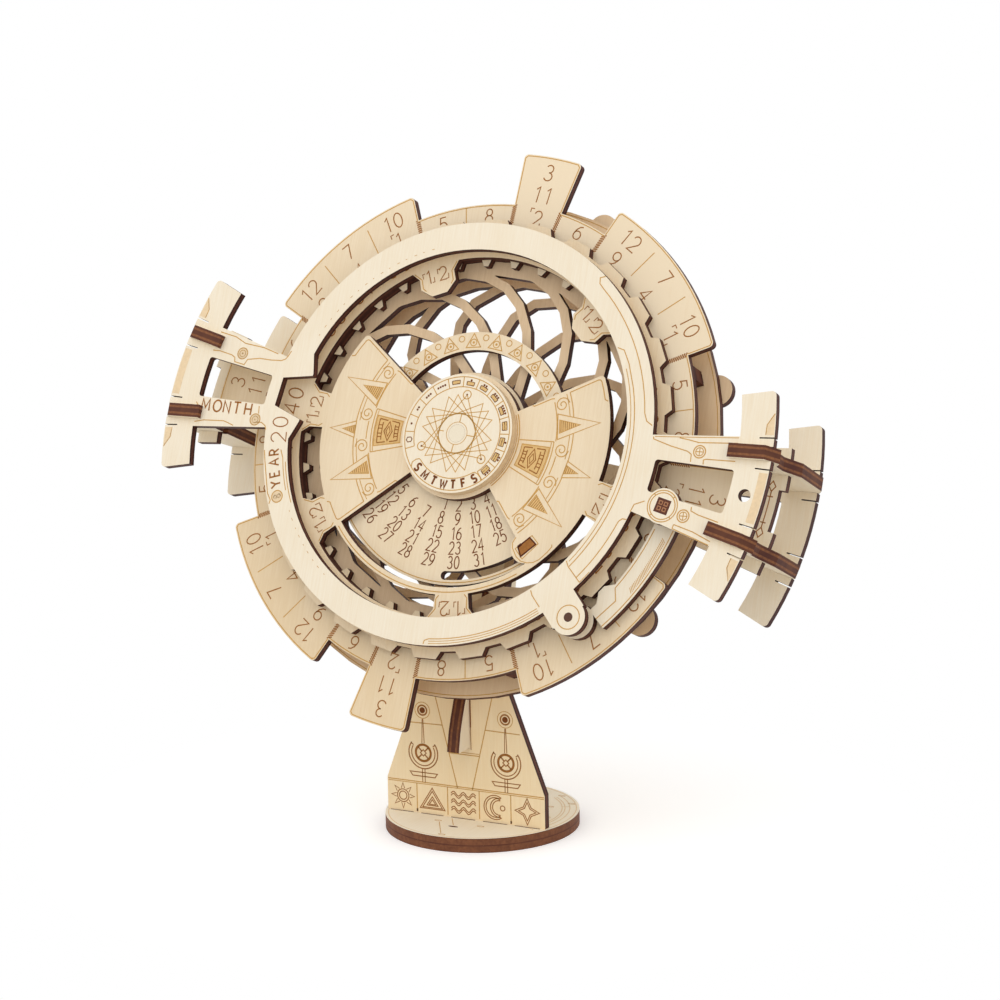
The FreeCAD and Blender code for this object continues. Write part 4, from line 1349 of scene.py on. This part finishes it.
@dataclass
class YearDial:
    """Toothed year plate with its mask, the weekday disc, the axle and its collar."""

    shop: Workshop
    plate_depth: float = -6.9
    hub_depth: float = -3.45
    cell: float = 360.0 / 28
    leap_start: float = -83.571
    leap_cells: int = 5
    leap_count: int = 6
    wing_middle: float = 102.857
    wing_turn: float = 167.143
    ray_spread: float = 21.0
    hub_radius: float = 20.6
    mark_count: int = 14
    mark_inner: float = 16.2
    mark_middle: float = 17.9
    mark_half: float = 4.6
    mark_start: float = -109.0
    mark_step: float = 17.89
    dotted_circles: tuple[float, ...] = (6.7, -112.0, 127.9)
    dotted_radius: float = 13.6
    weekdays: str = "SMTWTFS"
    weekday_clocks: tuple[float, ...] = (-134.7, -147.8, -160.8, -173.7, 174.35, 161.6, 148.4)
    weekday_radius: float = 17.7

    def dress(self) -> None:
        """Gives the year dial's nodes their finishes."""
        dial = self.shop.dial()
        self.shop.dress("year_plate", dial, Tone.SAND)
        self.shop.dress("hub_disc", dial, Tone.CREAM, Edge.RUBBED)
        self.shop.dress("stop_pin", dial, Tone.TOASTED)
        self.shop.dress("axle_collar", dial, Tone.HONEY)
        self.shop.dress_dowel("axle", dial)

    def engrave(self) -> None:
        """Burns the year dial's lines, figures and letters."""
        plate = self.shop.dial(self.plate_depth)
        lines = Engraving("mask_lines", plate, Burn.FINE, 0.36)
        self.draw_wings(lines)
        self.draw_tabs(lines)
        self.draw_stop_lug(lines)
        lines.finished("year_dial")
        self.engrave_stop_socket(plate)
        self.engrave_fields(plate)
        self.engrave_strokes(plate)
        self.engrave_years(plate)
        self.engrave_hub()

    def draw_wings(self, lines: Engraving) -> None:
        """Draws both wings of the mask from one motif.

        Args:
            lines: The engraving that they go into.
        """
        wing = Engraving("wing", lines.plane, Burn.FINE, 0.36)
        for side in BOTH_SIDES:
            wing.course([(35.8, side * 36.9), (34.7, side * 37.4), (28.2, side * 37.2), (27.6, side * 38.3)])
            self.draw_ray(wing, side * self.ray_spread, (36.0, 7.0, 51.2), (36.5, 3.5, 44.0))
            wing.curl(polar(38.1, side * 8.8), 2.65, 90.0 - side * 8.8, side * 1.6)
            wing.curl(polar(38.1, side * 32.3), 2.65, 90.0 - side * 32.3, -side * 1.6)
            wing.course([(22.1, side * 12.7), (34.9, side * 12.7)])
            wing.ring_line(41.6, side * 4.1, side * 17.0)
            wing.ring_line(41.6, side * 25.0, side * 37.0)
            wing.ring_line(40.3, side * 4.6, side * 16.2, 0.28)
            wing.ring_line(40.3, side * 25.8, side * 36.9, 0.28)
            wing.ring_line(35.5, side * 13.0, side * 35.0)
        self.draw_ray(wing, 0.0, (41.5, 4.0, 51.4), (41.6, 2.0, 46.5))
        wing.ring_line(36.7, -5.0, 5.0)
        wing.ring_line(34.9, -12.7, 12.7)
        wing.ring_line(34.0, -12.2, 12.2, 0.26)
        wing.ring_line(21.8, -36.0, 36.0)
        wing.ring_line(21.0, -36.0, 36.0, 0.26)
        wing.outline(field_outline(23.4, 33.6, -9.2, 9.2), 0.4)
        lines.repeat(wing, self.shop.pattern, 2, self.wing_middle, self.wing_turn)
        border = ((41.6, 37.0), (52.3, 37.4), (53.0, 37.1), (53.3, 36.4), (53.3, 33.0), (53.3, 29.4),
                  (54.3, 28.6))
        left_wing = self.wing_middle + self.wing_turn
        for clock, side in ((self.wing_middle, -1.0), (left_wing, -1.0), (left_wing, 1.0)):
            lines.course([(radius, clock + side * spread) for radius, spread in border])

    def draw_ray(self, wing: Engraving, clock: float, outside: tuple[float, float, float],
                 inside: tuple[float, float, float]) -> None:
        """Draws one sun ray as two nested triangles.

        Args:
            wing: The engraving that it goes into.
            clock: Its clock angle.
            outside: Base radius, half spread of the base and tip radius of the outer triangle.
            inside: The same of the inner one.
        """
        for base, spread, tip in (outside, inside):
            wing.outline([polar(base, clock - spread), polar(tip, clock), polar(base, clock + spread)])

    def engrave_fields(self, plate: Plane) -> None:
        """Burns the golden fields of the rays and of the wings' middle panels.

        Args:
            plate: The year plate's face.
        """
        fields = Engraving("mask_hatching", plate, Burn.HAZE, 0.3)
        wing = Engraving("wing_fields", plate, Burn.HAZE, 0.3)
        tall, short = (36.7, 3.2, 43.5), (41.8, 1.8, 46.0)
        for clock, (base, spread, tip) in ((-self.ray_spread, tall), (0.0, short), (self.ray_spread, tall)):
            wing.patch([polar(base, clock + spread), polar(tip, clock), polar(base, clock - spread)])
        wing.patch(field_outline(23.7, 33.3, -8.7, 8.7)[::-1])
        fields.repeat(wing, self.shop.pattern, 2, self.wing_middle, self.wing_turn)
        fields.finished("year_dial")

    def engrave_strokes(self, plate: Plane) -> None:
        """Burns the figure in the wings' middle panels and the ruled lines of the rays.

        Args:
            plate: The year plate's face.
        """
        strokes = Engraving("mask_strokes", plate.raised(0.03), Burn.LINE, 0.26)
        wing = Engraving("wing_strokes", plate, Burn.LINE, 0.26)
        for radius, half in ((24.5, 7.2), (25.9, 5.2), (30.9, 5.8), (32.4, 7.6)):
            wing.ring_line(radius, -half, half, 0.36)
        wing.outline([polar(28.4, -6.8), polar(30.0, 0.0), polar(28.4, 6.8), polar(26.8, 0.0)], 0.36)
        wing.outline([polar(28.4, -3.6), polar(29.2, 0.0), polar(28.4, 3.6), polar(27.6, 0.0)], 0.3)
        for side in BOTH_SIDES:
            wing.course([(24.5, side * 7.2), (27.6, side * 7.6)], 0.4)
            wing.course([(29.2, side * 7.4), (32.4, side * 7.6)], 0.4)
            for clock in (1.6, 3.8):
                wing.ray(side * clock, 30.9, 32.4, 0.34)
                wing.ray(side * clock, 24.5, 25.9, 0.34)
            self.rule_ray(wing, side * self.ray_spread, 8, (37.0, 43.4), 3.1 / 6.7)
        self.rule_ray(wing, 0.0, 5, (42.1, 46.0), 1.7 / 4.2)
        strokes.repeat(wing, self.shop.pattern, 2, self.wing_middle, self.wing_turn)
        strokes.finished("year_dial")

    def rule_ray(self, wing: Engraving, clock: float, count: int, reach: Point, taper: float) -> None:
        """Draws the ruled lines across a sun ray, shorter towards its tip.

        Args:
            wing: The engraving that they go into.
            clock: The ray's clock angle.
            count: Number of lines.
            reach: Radius of the first line and of the tip.
            taper: Half spread in degrees for each mm that is left to the tip.
        """
        for index in range(count):
            radius = reach[0] + index * 0.75
            half = (reach[1] - radius) * taper
            wing.course([(radius, clock - half), (radius, clock + half)], 0.2)

    def draw_tabs(self, lines: Engraving) -> None:
        """Draws the border lines of the leap tabs and of the window's rim.

        Args:
            lines: The engraving that they go into.
        """
        tab = Engraving("tab", lines.plane, Burn.FINE, 0.34)
        for side in BOTH_SIDES:
            tab.course([(62.6, side * 7.6), (59.6, side * 5.6), (56.2, side * 5.9), (54.9, side * 5.0)])
        lines.repeat(tab, self.shop.pattern, self.leap_count, self.leap_start, self.cell * self.leap_cells)
        lines.ring_line(53.8, 147.5, 230.5)

    def draw_stop_lug(self, lines: Engraving) -> None:
        """Draws the frame round the stop pin and the lug's border.

        Args:
            lines: The engraving that it goes into.
        """
        lines.outline([polar(45.6, 134.9), polar(49.3, 134.8), polar(50.2, 143.3), polar(45.8, 144.0)], 0.3)
        lines.course([(42.5, 141.4), (43.4, 143.8), (44.9, 144.9), (48.3, 145.1), (50.6, 144.2),
                      (52.3, 142.4), (53.5, 140.2), (53.95, 137.9), (53.8, 134.0), (53.5, 131.4),
                      (52.9, 130.9)], 0.3)

    def engrave_stop_socket(self, plate: Plane) -> None:
        """Burns the brown socket with its charred rim round the stop pin.

        Args:
            plate: The year plate's face.
        """
        rim = [polar(45.8, 142.6), polar(45.6, 136.2), polar(48.9, 135.7), polar(49.2, 143.4)]
        socket = Engraving("stop_socket", plate, Burn.LINE, 0.4)
        socket.patch(rim)
        socket.finished("year_dial")
        char = Engraving("stop_socket_rim", plate.raised(0.03), Burn.DARK, 0.5)
        char.outline(rim)
        char.stroke([rim[0], tuple(Vector(rim[0]).lerp(Vector(rim[1]), 0.3))], 0.9)
        char.finished("year_dial")

    def engrave_years(self, plate: Plane) -> None:
        """Burns the years, 19 to 40 with each leap year twice, and the leap tabs' months.

        Args:
            plate: The year plate's face.
        """
        years = Engraving("year_figures", plate, Burn.LINE, 0.5)
        for index in range(-1, 27):
            clock = self.leap_start + self.cell * (25 - index) + 1.0
            year = 19 if index < 0 else 20 + 4 * (index // 5) + max(0, index % 5 - 1)
            for figure, side in zip(str(year), BOTH_SIDES):
                middle = clock + side * 2.3
                years.word(figure, polar(68.6, middle), 6.0, middle)
        for index in range(self.leap_count):
            clock = self.leap_start + self.cell * self.leap_cells * index
            for figure, side in (("1", -3.1), ("2", 2.3)):
                middle = clock + side
                years.word(figure, polar(59.4, middle), 4.8, middle, 0.42)
                years.course([(59.6, middle - 1.9), (61.3, middle - 1.9), (61.3, middle - 1.0)], 0.3)
                years.course([(59.0, middle + 2.0), (57.2, middle + 2.0), (57.2, middle + 1.1)], 0.3)
        years.finished("year_dial")

    def engrave_hub(self) -> None:
        """Burns the weekday disc: rings, star and circles first, then the marks and letters."""
        face = self.shop.dial(self.hub_depth)
        lines = Engraving("hub_lines", face, Burn.FINE, 0.32)
        rim = self.hub_radius - 0.9
        lines.ring_line(rim, 0.0, FULL_TURN)
        lines.ring_line(self.mark_inner, self.mark_start, self.mark_start + self.mark_count * self.mark_step)
        divider = Engraving("divider", face, Burn.FINE, 0.32)
        divider.ray(0.0, self.mark_inner, rim)
        lines.repeat(divider, self.shop.pattern, self.mark_count + 1, self.mark_start, self.mark_step)
        self.draw_hub_star(lines)
        self.draw_letter_band(lines)
        lines.finished("year_dial")
        self.engrave_hub_marks(face)

    def draw_hub_star(self, lines: Engraving) -> None:
        """Draws the star of nested triangles, the circles in it and the ticks between them.

        Args:
            lines: The engraving that they go into.
        """
        star = Engraving("star", lines.plane, Burn.FINE, 0.28)
        for turn in (-15.0, 0.0, 15.0):
            star.outline([polar(13.5, turn), polar(13.5, turn + 120.0), polar(13.5, turn + 240.0)])
        lines.repeat(star, self.shop.pattern, 2, -8.0, 60.0)
        lines.loop((0.0, 0.0), 7.0, 0.32, 36)
        # Partly painted shade: this thin ring marks the raised axle cap's edge together with the thin shadow
        # round it.
        lines.loop((0.0, 0.0), 3.9, 0.2, 30)
        for clock, near in ((6.3, 3.9), (97.0, 3.9), (-172.0, 3.9), (-84.0, 5.1)):
            lines.ray(clock, near, 7.0)
        for clock in self.dotted_circles:
            lines.loop(polar(self.dotted_radius, clock), 1.5, 0.34, 16)

    def engrave_hub_marks(self, face: Plane) -> None:
        """Burns the counting marks, the circles' dots and the weekday letters.

        Args:
            face: The weekday disc's face.
        """
        boxes = Engraving("hub_bars", face, Burn.HAZE, 0.5)
        marks = Engraving("hub_marks", face, Burn.DEEP, 0.3)
        for clock in self.dotted_circles:
            marks.dot(polar(self.dotted_radius, clock), 0.35)
        for number in range(self.mark_count):
            self.draw_counting_mark(marks, boxes, number, self.mark_start + self.mark_step * (number + 0.5))
        for letter, clock in zip(self.weekdays, self.weekday_clocks):
            marks.word(letter, polar(self.weekday_radius, clock), 2.8, clock + 180.0, 0.72)
        boxes.finished("year_dial")
        marks.finished("year_dial")

    def draw_letter_band(self, lines: Engraving) -> None:
        """Draws the round-ended line above the weekday letters.

        Args:
            lines: The engraving that it goes into.
        """
        lines.course([(19.7, 142.8), (18.6, 141.6), (17.0, 142.4), (15.8, 145.0), (15.6, 147.4)])
        lines.ring_line(15.6, 147.4, 230.4)
        lines.course([(15.6, 230.4), (15.8, 232.8), (17.0, 234.6), (18.6, 234.2), (19.7, 230.5)])

    def draw_counting_mark(self, marks: Engraving, boxes: Engraving, number: int, clock: float) -> None:
        """Draws a number as dots over bars of five, or a shell for nought.

        Args:
            marks: The engraving of the dots and outlines.
            boxes: The engraving of the bars' filling.
            number: The number, 0 to 13.
            clock: Clock angle of its field.
        """
        if number == 0:
            marks.outline([polar(radius, clock + spread) for radius, spread in (
                (16.9, 0.0), (17.4, -2.6), (18.6, -2.6), (19.1, 0.0), (18.6, 2.6), (17.4, 2.6))])
            return
        bars, dots = divmod(number, 5)
        height = 0.7 + 0.5 * bars if bars else 0.0
        low = self.mark_middle - height / 2 - (0.35 if dots and bars else 0.0)
        start, end = clock - self.mark_half, clock + self.mark_half
        if bars:
            boxes.patch(field_outline(low, low + height, start, end)[::-1])
            for bar in range(bars + 1):
                marks.ring_line(low + height * bar / bars, start, end)
            for side in (start, end):
                marks.ray(side, low, low + height)
        radius = low + height + 0.55 if bars else self.mark_middle + 0.1
        for dot in range(dots):
            marks.dot(polar(radius, clock + (dot - (dots - 1) / 2) * 2.9), 0.4, 8)


@dataclass
class MonthDial:
    """Month ring, date disk, both lattices, the grip ring and the posts between them."""

    shop: Workshop
    post_count: int = 4
    ring_depth: float = -10.35
    back_depth: float = -23.7
    cell: float = 360.0 / 28
    turn: float = 2.8
    recess_outer: float = 83.2
    wide_outer: float = 92.6
    tall_outer: float = 101.4
    border_inset: float = 0.55
    quadrants: int = 4
    quarter_cells: int = 7
    first_date_clock: float = 188.8
    date_radius: float = 23.2
    date_limit: float = 49.0
    date_step: float = 4.95
    last_date: int = 31
    week: int = 7
    # Each month figure with its place in cells, its radius and its height
    figures: tuple[tuple[str, float, float, float], ...] = (
        ("3", 0.5, 95.7, 5.6), ("11", 0.5, 87.6, 5.6), ("2", 0.55, 79.4, 5.2), ("6", 1.5, 79.3, 5.0),
        ("12", 2.5, 86.7, 5.6), ("9", 2.5, 78.7, 5.2), ("7", 3.5, 86.8, 5.4), ("4", 3.5, 78.3, 5.0),
        ("10", 4.5, 86.7, 5.6), ("1", 4.5, 79.4, 5.2), ("5", 5.5, 78.6, 5.0), ("8", 6.5, 78.9, 5.0))

    def dress(self) -> None:
        """Gives the month dial's nodes their finishes."""
        dial = self.shop.dial()
        # Painted shade: the month ring browns towards its lower left, where the front ring shades it; the
        # rest of its tan is the sheet's own tone.
        self.shop.dress("month_ring", dial, Tone.SAND, lean=(-0.004, -0.005))
        self.shop.dress("date_disk", dial, Tone.SAND)
        self.shop.dress("front_lattice", dial, Tone.HONEY)
        # Painted shade: the back plate and grip ring take the darker SHADED tone for the shade they lie in
        # behind the month ring.
        self.shop.dress("back_plate", dial, Tone.SHADED)
        self.shop.dress("grip_ring", dial, Tone.SHADED)
        for index in range(self.post_count):
            self.shop.dress(f"wheel_post_{index + 1}", dial, Tone.HONEY)

    def engrave(self) -> None:
        """Burns the month dial's lines and figures."""
        face = self.shop.dial(self.ring_depth)
        lines = Engraving("month_lines", face, Burn.FINE, 0.34)
        self.draw_month_borders(lines)
        self.draw_arch(lines)
        lines.ring_line(49.9, 104.5, 268.5)
        lines.finished("month_dial")
        self.engrave_months(face)
        self.engrave_dates(face)
        back = Engraving("back_plate_lines", self.shop.dial(self.back_depth), Burn.FINE, 0.3)
        back.ring_line(86.0, 0.0, FULL_TURN)
        back.ring_line(76.4, 0.0, FULL_TURN)
        back.finished("month_dial")

    def draw_month_borders(self, lines: Engraving) -> None:
        """Draws the border and cell lines of one quarter of the month ring and repeats them.

        Args:
            lines: The engraving that they go into.
        """
        quarter = Engraving("quarter", lines.plane, Burn.FINE, 0.34)
        inset = self.border_inset
        wide_start, wide_end = self.cell * 2, self.cell * 5
        for outer, start, end in ((self.tall_outer, 0.0, self.cell), (self.wide_outer, wide_start, wide_end)):
            edge = math.degrees(inset / outer)
            corner = edge * 2.6
            sweep = end - start - corner * 2
            rim = [(outer - inset, start + corner + sweep * step / 12) for step in range(13)]
            quarter.course([(self.recess_outer, start + edge), (outer - inset * 2.4, start + edge)] + rim
                           + [(outer - inset * 2.4, end - edge), (self.recess_outer, end - edge)])
        for start, end in ((self.cell, wide_start), (wide_end, self.cell * self.quarter_cells)):
            quarter.ring_line(self.recess_outer - inset, start - 0.3, end + 0.3)
        for cells in (3, 4):
            quarter.ray(self.cell * cells, 78.4, 89.4)
        quarter.ray(self.cell * 6, 76.2, self.recess_outer - inset)
        lines.repeat(quarter, self.shop.pattern, self.quadrants, self.turn, FULL_TURN / self.quadrants)

    def draw_root_hatch(self, roots: Engraving, clock: float, side: float) -> None:
        """Draws the bold slanted strokes that carry a tab's side line down to the year plate.

        Args:
            roots: The engraving that they go into.
            clock: Clock angle of the tab's side.
            side: 1 where the tab lies clockwise of it, -1 where it lies the other way.
        """
        for index in range(9):
            radius = 76.3 + index * 0.78
            roots.course([(radius - 0.65, clock - side * 0.35), (radius + 0.65, clock + side * 0.7)], 0.42)

    def draw_arch(self, lines: Engraving) -> None:
        """Draws the arch's triangles with their eyes, and the small circles between them.

        Args:
            lines: The engraving that they go into.
        """
        motif = Engraving("arch_triangle", lines.plane, Burn.FINE, 0.34)
        motif.outline([polar(32.1, -4.9), polar(36.9, 0.0), polar(32.1, 4.9)])
        motif.loop(polar(33.7, 0.0), 1.2, 0.32, 14)
        motif.dot(polar(33.7, 0.0), 0.45, 8)
        motif.loop(polar(35.4, 7.5), 1.05, 0.3, 14)
        lines.repeat(motif, self.shop.pattern, 12, -80.0, 15.0)

    def engrave_months(self, face: Plane) -> None:
        """Burns the month figures of every quarter and the strokes at the roots of its tabs.

        Args:
            face: The month ring's face.
        """
        months = Engraving("month_figures", face, Burn.LINE, 0.42)
        quarter = Engraving("quarter_figures", face, Burn.LINE, 0.42)
        for word, cells, radius, height in self.figures:
            clock = cells * self.cell
            quarter.word(word, polar(radius, clock), height, clock, gap=0.26)
        for cells, radius in ((0.5, 79.5), (4.5, 79.3)):
            for side in BOTH_SIDES:
                corner = cells * self.cell + side * 1.7
                quarter.course([(radius - side * 1.7, corner), (radius - side * 3.1, corner),
                                (radius - side * 3.1, corner - side * 0.9)], 0.34)
        for cells, side in ((0, 1.0), (1, -1.0), (2, 1.0), (5, -1.0)):
            self.draw_root_hatch(quarter, self.cell * cells, side)
        months.repeat(quarter, self.shop.pattern, self.quadrants, self.turn, FULL_TURN / self.quadrants)
        months.finished("month_dial")

    def engrave_dates(self, face: Plane) -> None:
        """Burns the dates: thirteen weekday columns, a row for each week.

        Args:
            face: The date disk's face.
        """
        dates = Engraving("date_figures", face, Burn.DEEP, 0.4)
        for column in range(1 - self.week, self.week):
            clock = self.first_date_clock - column * self.cell
            for row in range(6):
                date = 1 + column + self.week * row
                radius = self.date_radius + self.date_step * row
                if 1 <= date <= self.last_date and radius < self.date_limit:
                    dates.word(str(date), polar(radius, clock), 4.2, clock + 180.0, gap=0.2, squeeze=0.74)
        dates.finished("month_dial")


@dataclass(frozen=True)
class Lamp:
    """Square soft lamp: azimuth and elevation of its place in degrees, side in metres, power in watts."""

    name: str
    azimuth: float
    elevation: float
    size: float
    power: float


@dataclass
class Studio:
    """Camera, floor and soft lights of the photograph."""

    azimuth: float = 27.396
    elevation: float = 10.523
    distance: float = 900.19
    focal_px: float = 2627.48
    picture_px: float = 1000.0
    sensor: float = 36.0
    aim_height: float = 114.852
    aim_right: float = 8.313
    roll: float = 1.160
    floor_size: float = 6.0
    light_level: float = 0.84
    lamp_distance: float = 1.6
    lamps: tuple[Lamp, ...] = (Lamp("key_lamp", -20.0, 50.0, 1.4, 6.5),
                               Lamp("side_lamp", 75.0, 30.0, 1.2, 2.5))

    def set_camera(self) -> None:
        """Makes the camera that the photograph was solved to."""
        azimuth, elevation = math.radians(self.azimuth), math.radians(self.elevation)
        ahead = Vector((-math.sin(azimuth) * math.cos(elevation), math.cos(azimuth) * math.cos(elevation),
                        -math.sin(elevation)))
        right = Vector((math.cos(azimuth), math.sin(azimuth), 0.0))
        up = right.cross(ahead)
        aim = Vector((0.0, 0.0, self.aim_height)) + right * self.aim_right
        place = (aim - ahead * self.distance) * MM
        roll = math.radians(self.roll)
        cam_x = right * math.cos(roll) - up * math.sin(roll)
        cam_y = right * math.sin(roll) + up * math.cos(roll)
        data = bpy.data.cameras.new("camera")
        data.sensor_width = self.sensor
        data.lens = self.focal_px * self.sensor / self.picture_px
        data.clip_start = 0.01
        data.clip_end = 50.0
        camera = bpy.data.objects.new("camera", data)
        turn = Matrix((cam_x, cam_y, -ahead)).transposed()
        camera.matrix_world = Matrix.Translation(place) @ turn.to_4x4()
        bpy.context.scene.collection.objects.link(camera)
        bpy.context.scene.camera = camera

    def background_ray(self, nodes: Nodes) -> bpy.types.NodeSocket:
        """Tells the rays that show the background from those that light the object.

        Args:
            nodes: Node helper.

        Returns:
            Socket that is one for rays from the camera, off gloss or through clear matter.
        """
        path = nodes.add("ShaderNodeLightPath").outputs
        seen = nodes.maths("MAXIMUM", path["Is Camera Ray"], path["Is Glossy Ray"])
        return nodes.maths("MAXIMUM", seen, path["Is Transmission Ray"])

    def lay_floor(self) -> None:
        """Lays a plain white floor that keeps the object's shadow."""
        half = self.floor_size / 2
        data = bpy.data.meshes.new("floor")
        around = [(-half, -half, 0.0), (half, -half, 0.0), (half, half, 0.0), (-half, half, 0.0)]
        data.from_pydata(around, [], [(0, 1, 2, 3)])
        floor = bpy.data.objects.new("floor", data)
        bpy.context.scene.collection.objects.link(floor)
        material = bpy.data.materials.new("floor_white")
        material.use_nodes = True
        material.node_tree.nodes.clear()
        nodes = Nodes(material.node_tree)
        plain = nodes.add("ShaderNodeBsdfDiffuse", {"Color": (0.78, 0.77, 0.75, 1.0)})
        seen = nodes.add("ShaderNodeBsdfDiffuse", {"Color": (0.95, 0.95, 0.95, 1.0)})
        glow = nodes.add("ShaderNodeEmission", {"Color": (1.0, 1.0, 1.0, 1.0), "Strength": 0.25})
        near = nodes.add("ShaderNodeAddShader", {0: seen.outputs[0], 1: glow.outputs[0]})
        white = nodes.add("ShaderNodeEmission", {"Color": (1.0, 1.0, 1.0, 1.0), "Strength": 1.0})
        away = nodes.add("ShaderNodeVectorMath", {0: nodes.add("ShaderNodeTexCoord").outputs["Object"]},
                         operation="LENGTH").outputs["Value"]
        fade = nodes.add("ShaderNodeMapRange", {0: away, 1: 0.05, 2: 0.16},
                         interpolation_type="SMOOTHSTEP").outputs[0]
        bright = nodes.add("ShaderNodeMixShader", {0: fade, 1: near.outputs[0], 2: white.outputs[0]})
        both = nodes.add("ShaderNodeMixShader", {0: self.background_ray(nodes), 1: plain.outputs[0],
                                                 2: bright.outputs[0]})
        nodes.add("ShaderNodeOutputMaterial", {"Surface": both.outputs[0]})
        floor.data.materials.append(material)

    def set_world(self) -> None:
        """Soft even light from all round, and plain white behind."""
        world = bpy.data.worlds.new("studio")
        world.use_nodes = True
        world.node_tree.nodes.clear()
        nodes = Nodes(world.node_tree)
        around = nodes.add("ShaderNodeBackground", {
            "Color": (1.0, 0.985, 0.965, 1.0), "Strength": self.light_level})
        white = nodes.add("ShaderNodeBackground", {"Color": (1.0, 1.0, 1.0, 1.0), "Strength": 1.0})
        both = nodes.add("ShaderNodeMixShader", {0: self.background_ray(nodes), 1: around.outputs[0],
                                                 2: white.outputs[0]})
        nodes.add("ShaderNodeOutputWorld", {"Surface": both.outputs[0]})
        bpy.context.scene.world = world

    def hang_lamp(self, lamp: Lamp) -> None:
        """Hangs a lamp that points at the object.

        Args:
            lamp: The lamp; azimuth 0 is in front of the object and 90 to its right.
        """
        turn, rise = math.radians(lamp.azimuth), math.radians(lamp.elevation)
        away = Vector((math.sin(turn) * math.cos(rise), -math.cos(turn) * math.cos(rise), math.sin(rise)))
        data = bpy.data.lights.new(lamp.name, "AREA")
        data.shape = "SQUARE"
        data.size = lamp.size
        data.energy = lamp.power
        piece = bpy.data.objects.new(lamp.name, data)
        piece.location = Vector((0.0, 0.0, self.aim_height * MM)) + away * self.lamp_distance
        piece.rotation_euler = away.to_track_quat("Z", "Y").to_euler()
        bpy.context.scene.collection.objects.link(piece)

    def build(self) -> None:
        """Sets up the whole studio."""
        self.set_camera()
        self.lay_floor()
        self.set_world()
        for lamp in self.lamps:
            self.hang_lamp(lamp)
        bpy.context.scene.view_settings.view_transform = "Standard"


def main() -> None:
    """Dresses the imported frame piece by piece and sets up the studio."""
    logging.basicConfig(level=logging.INFO, format="%(message)s")
    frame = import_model()
    shop = Workshop(frame["nodes"], RingPattern())
    for part in (Stand(shop), RingFrame(shop), YearDial(shop), MonthDial(shop)):
        part.dress()
        part.engrave()
        LOG.info("%s is done", type(part).__name__)
    Studio().build()


if __name__ == "__main__":
    main()
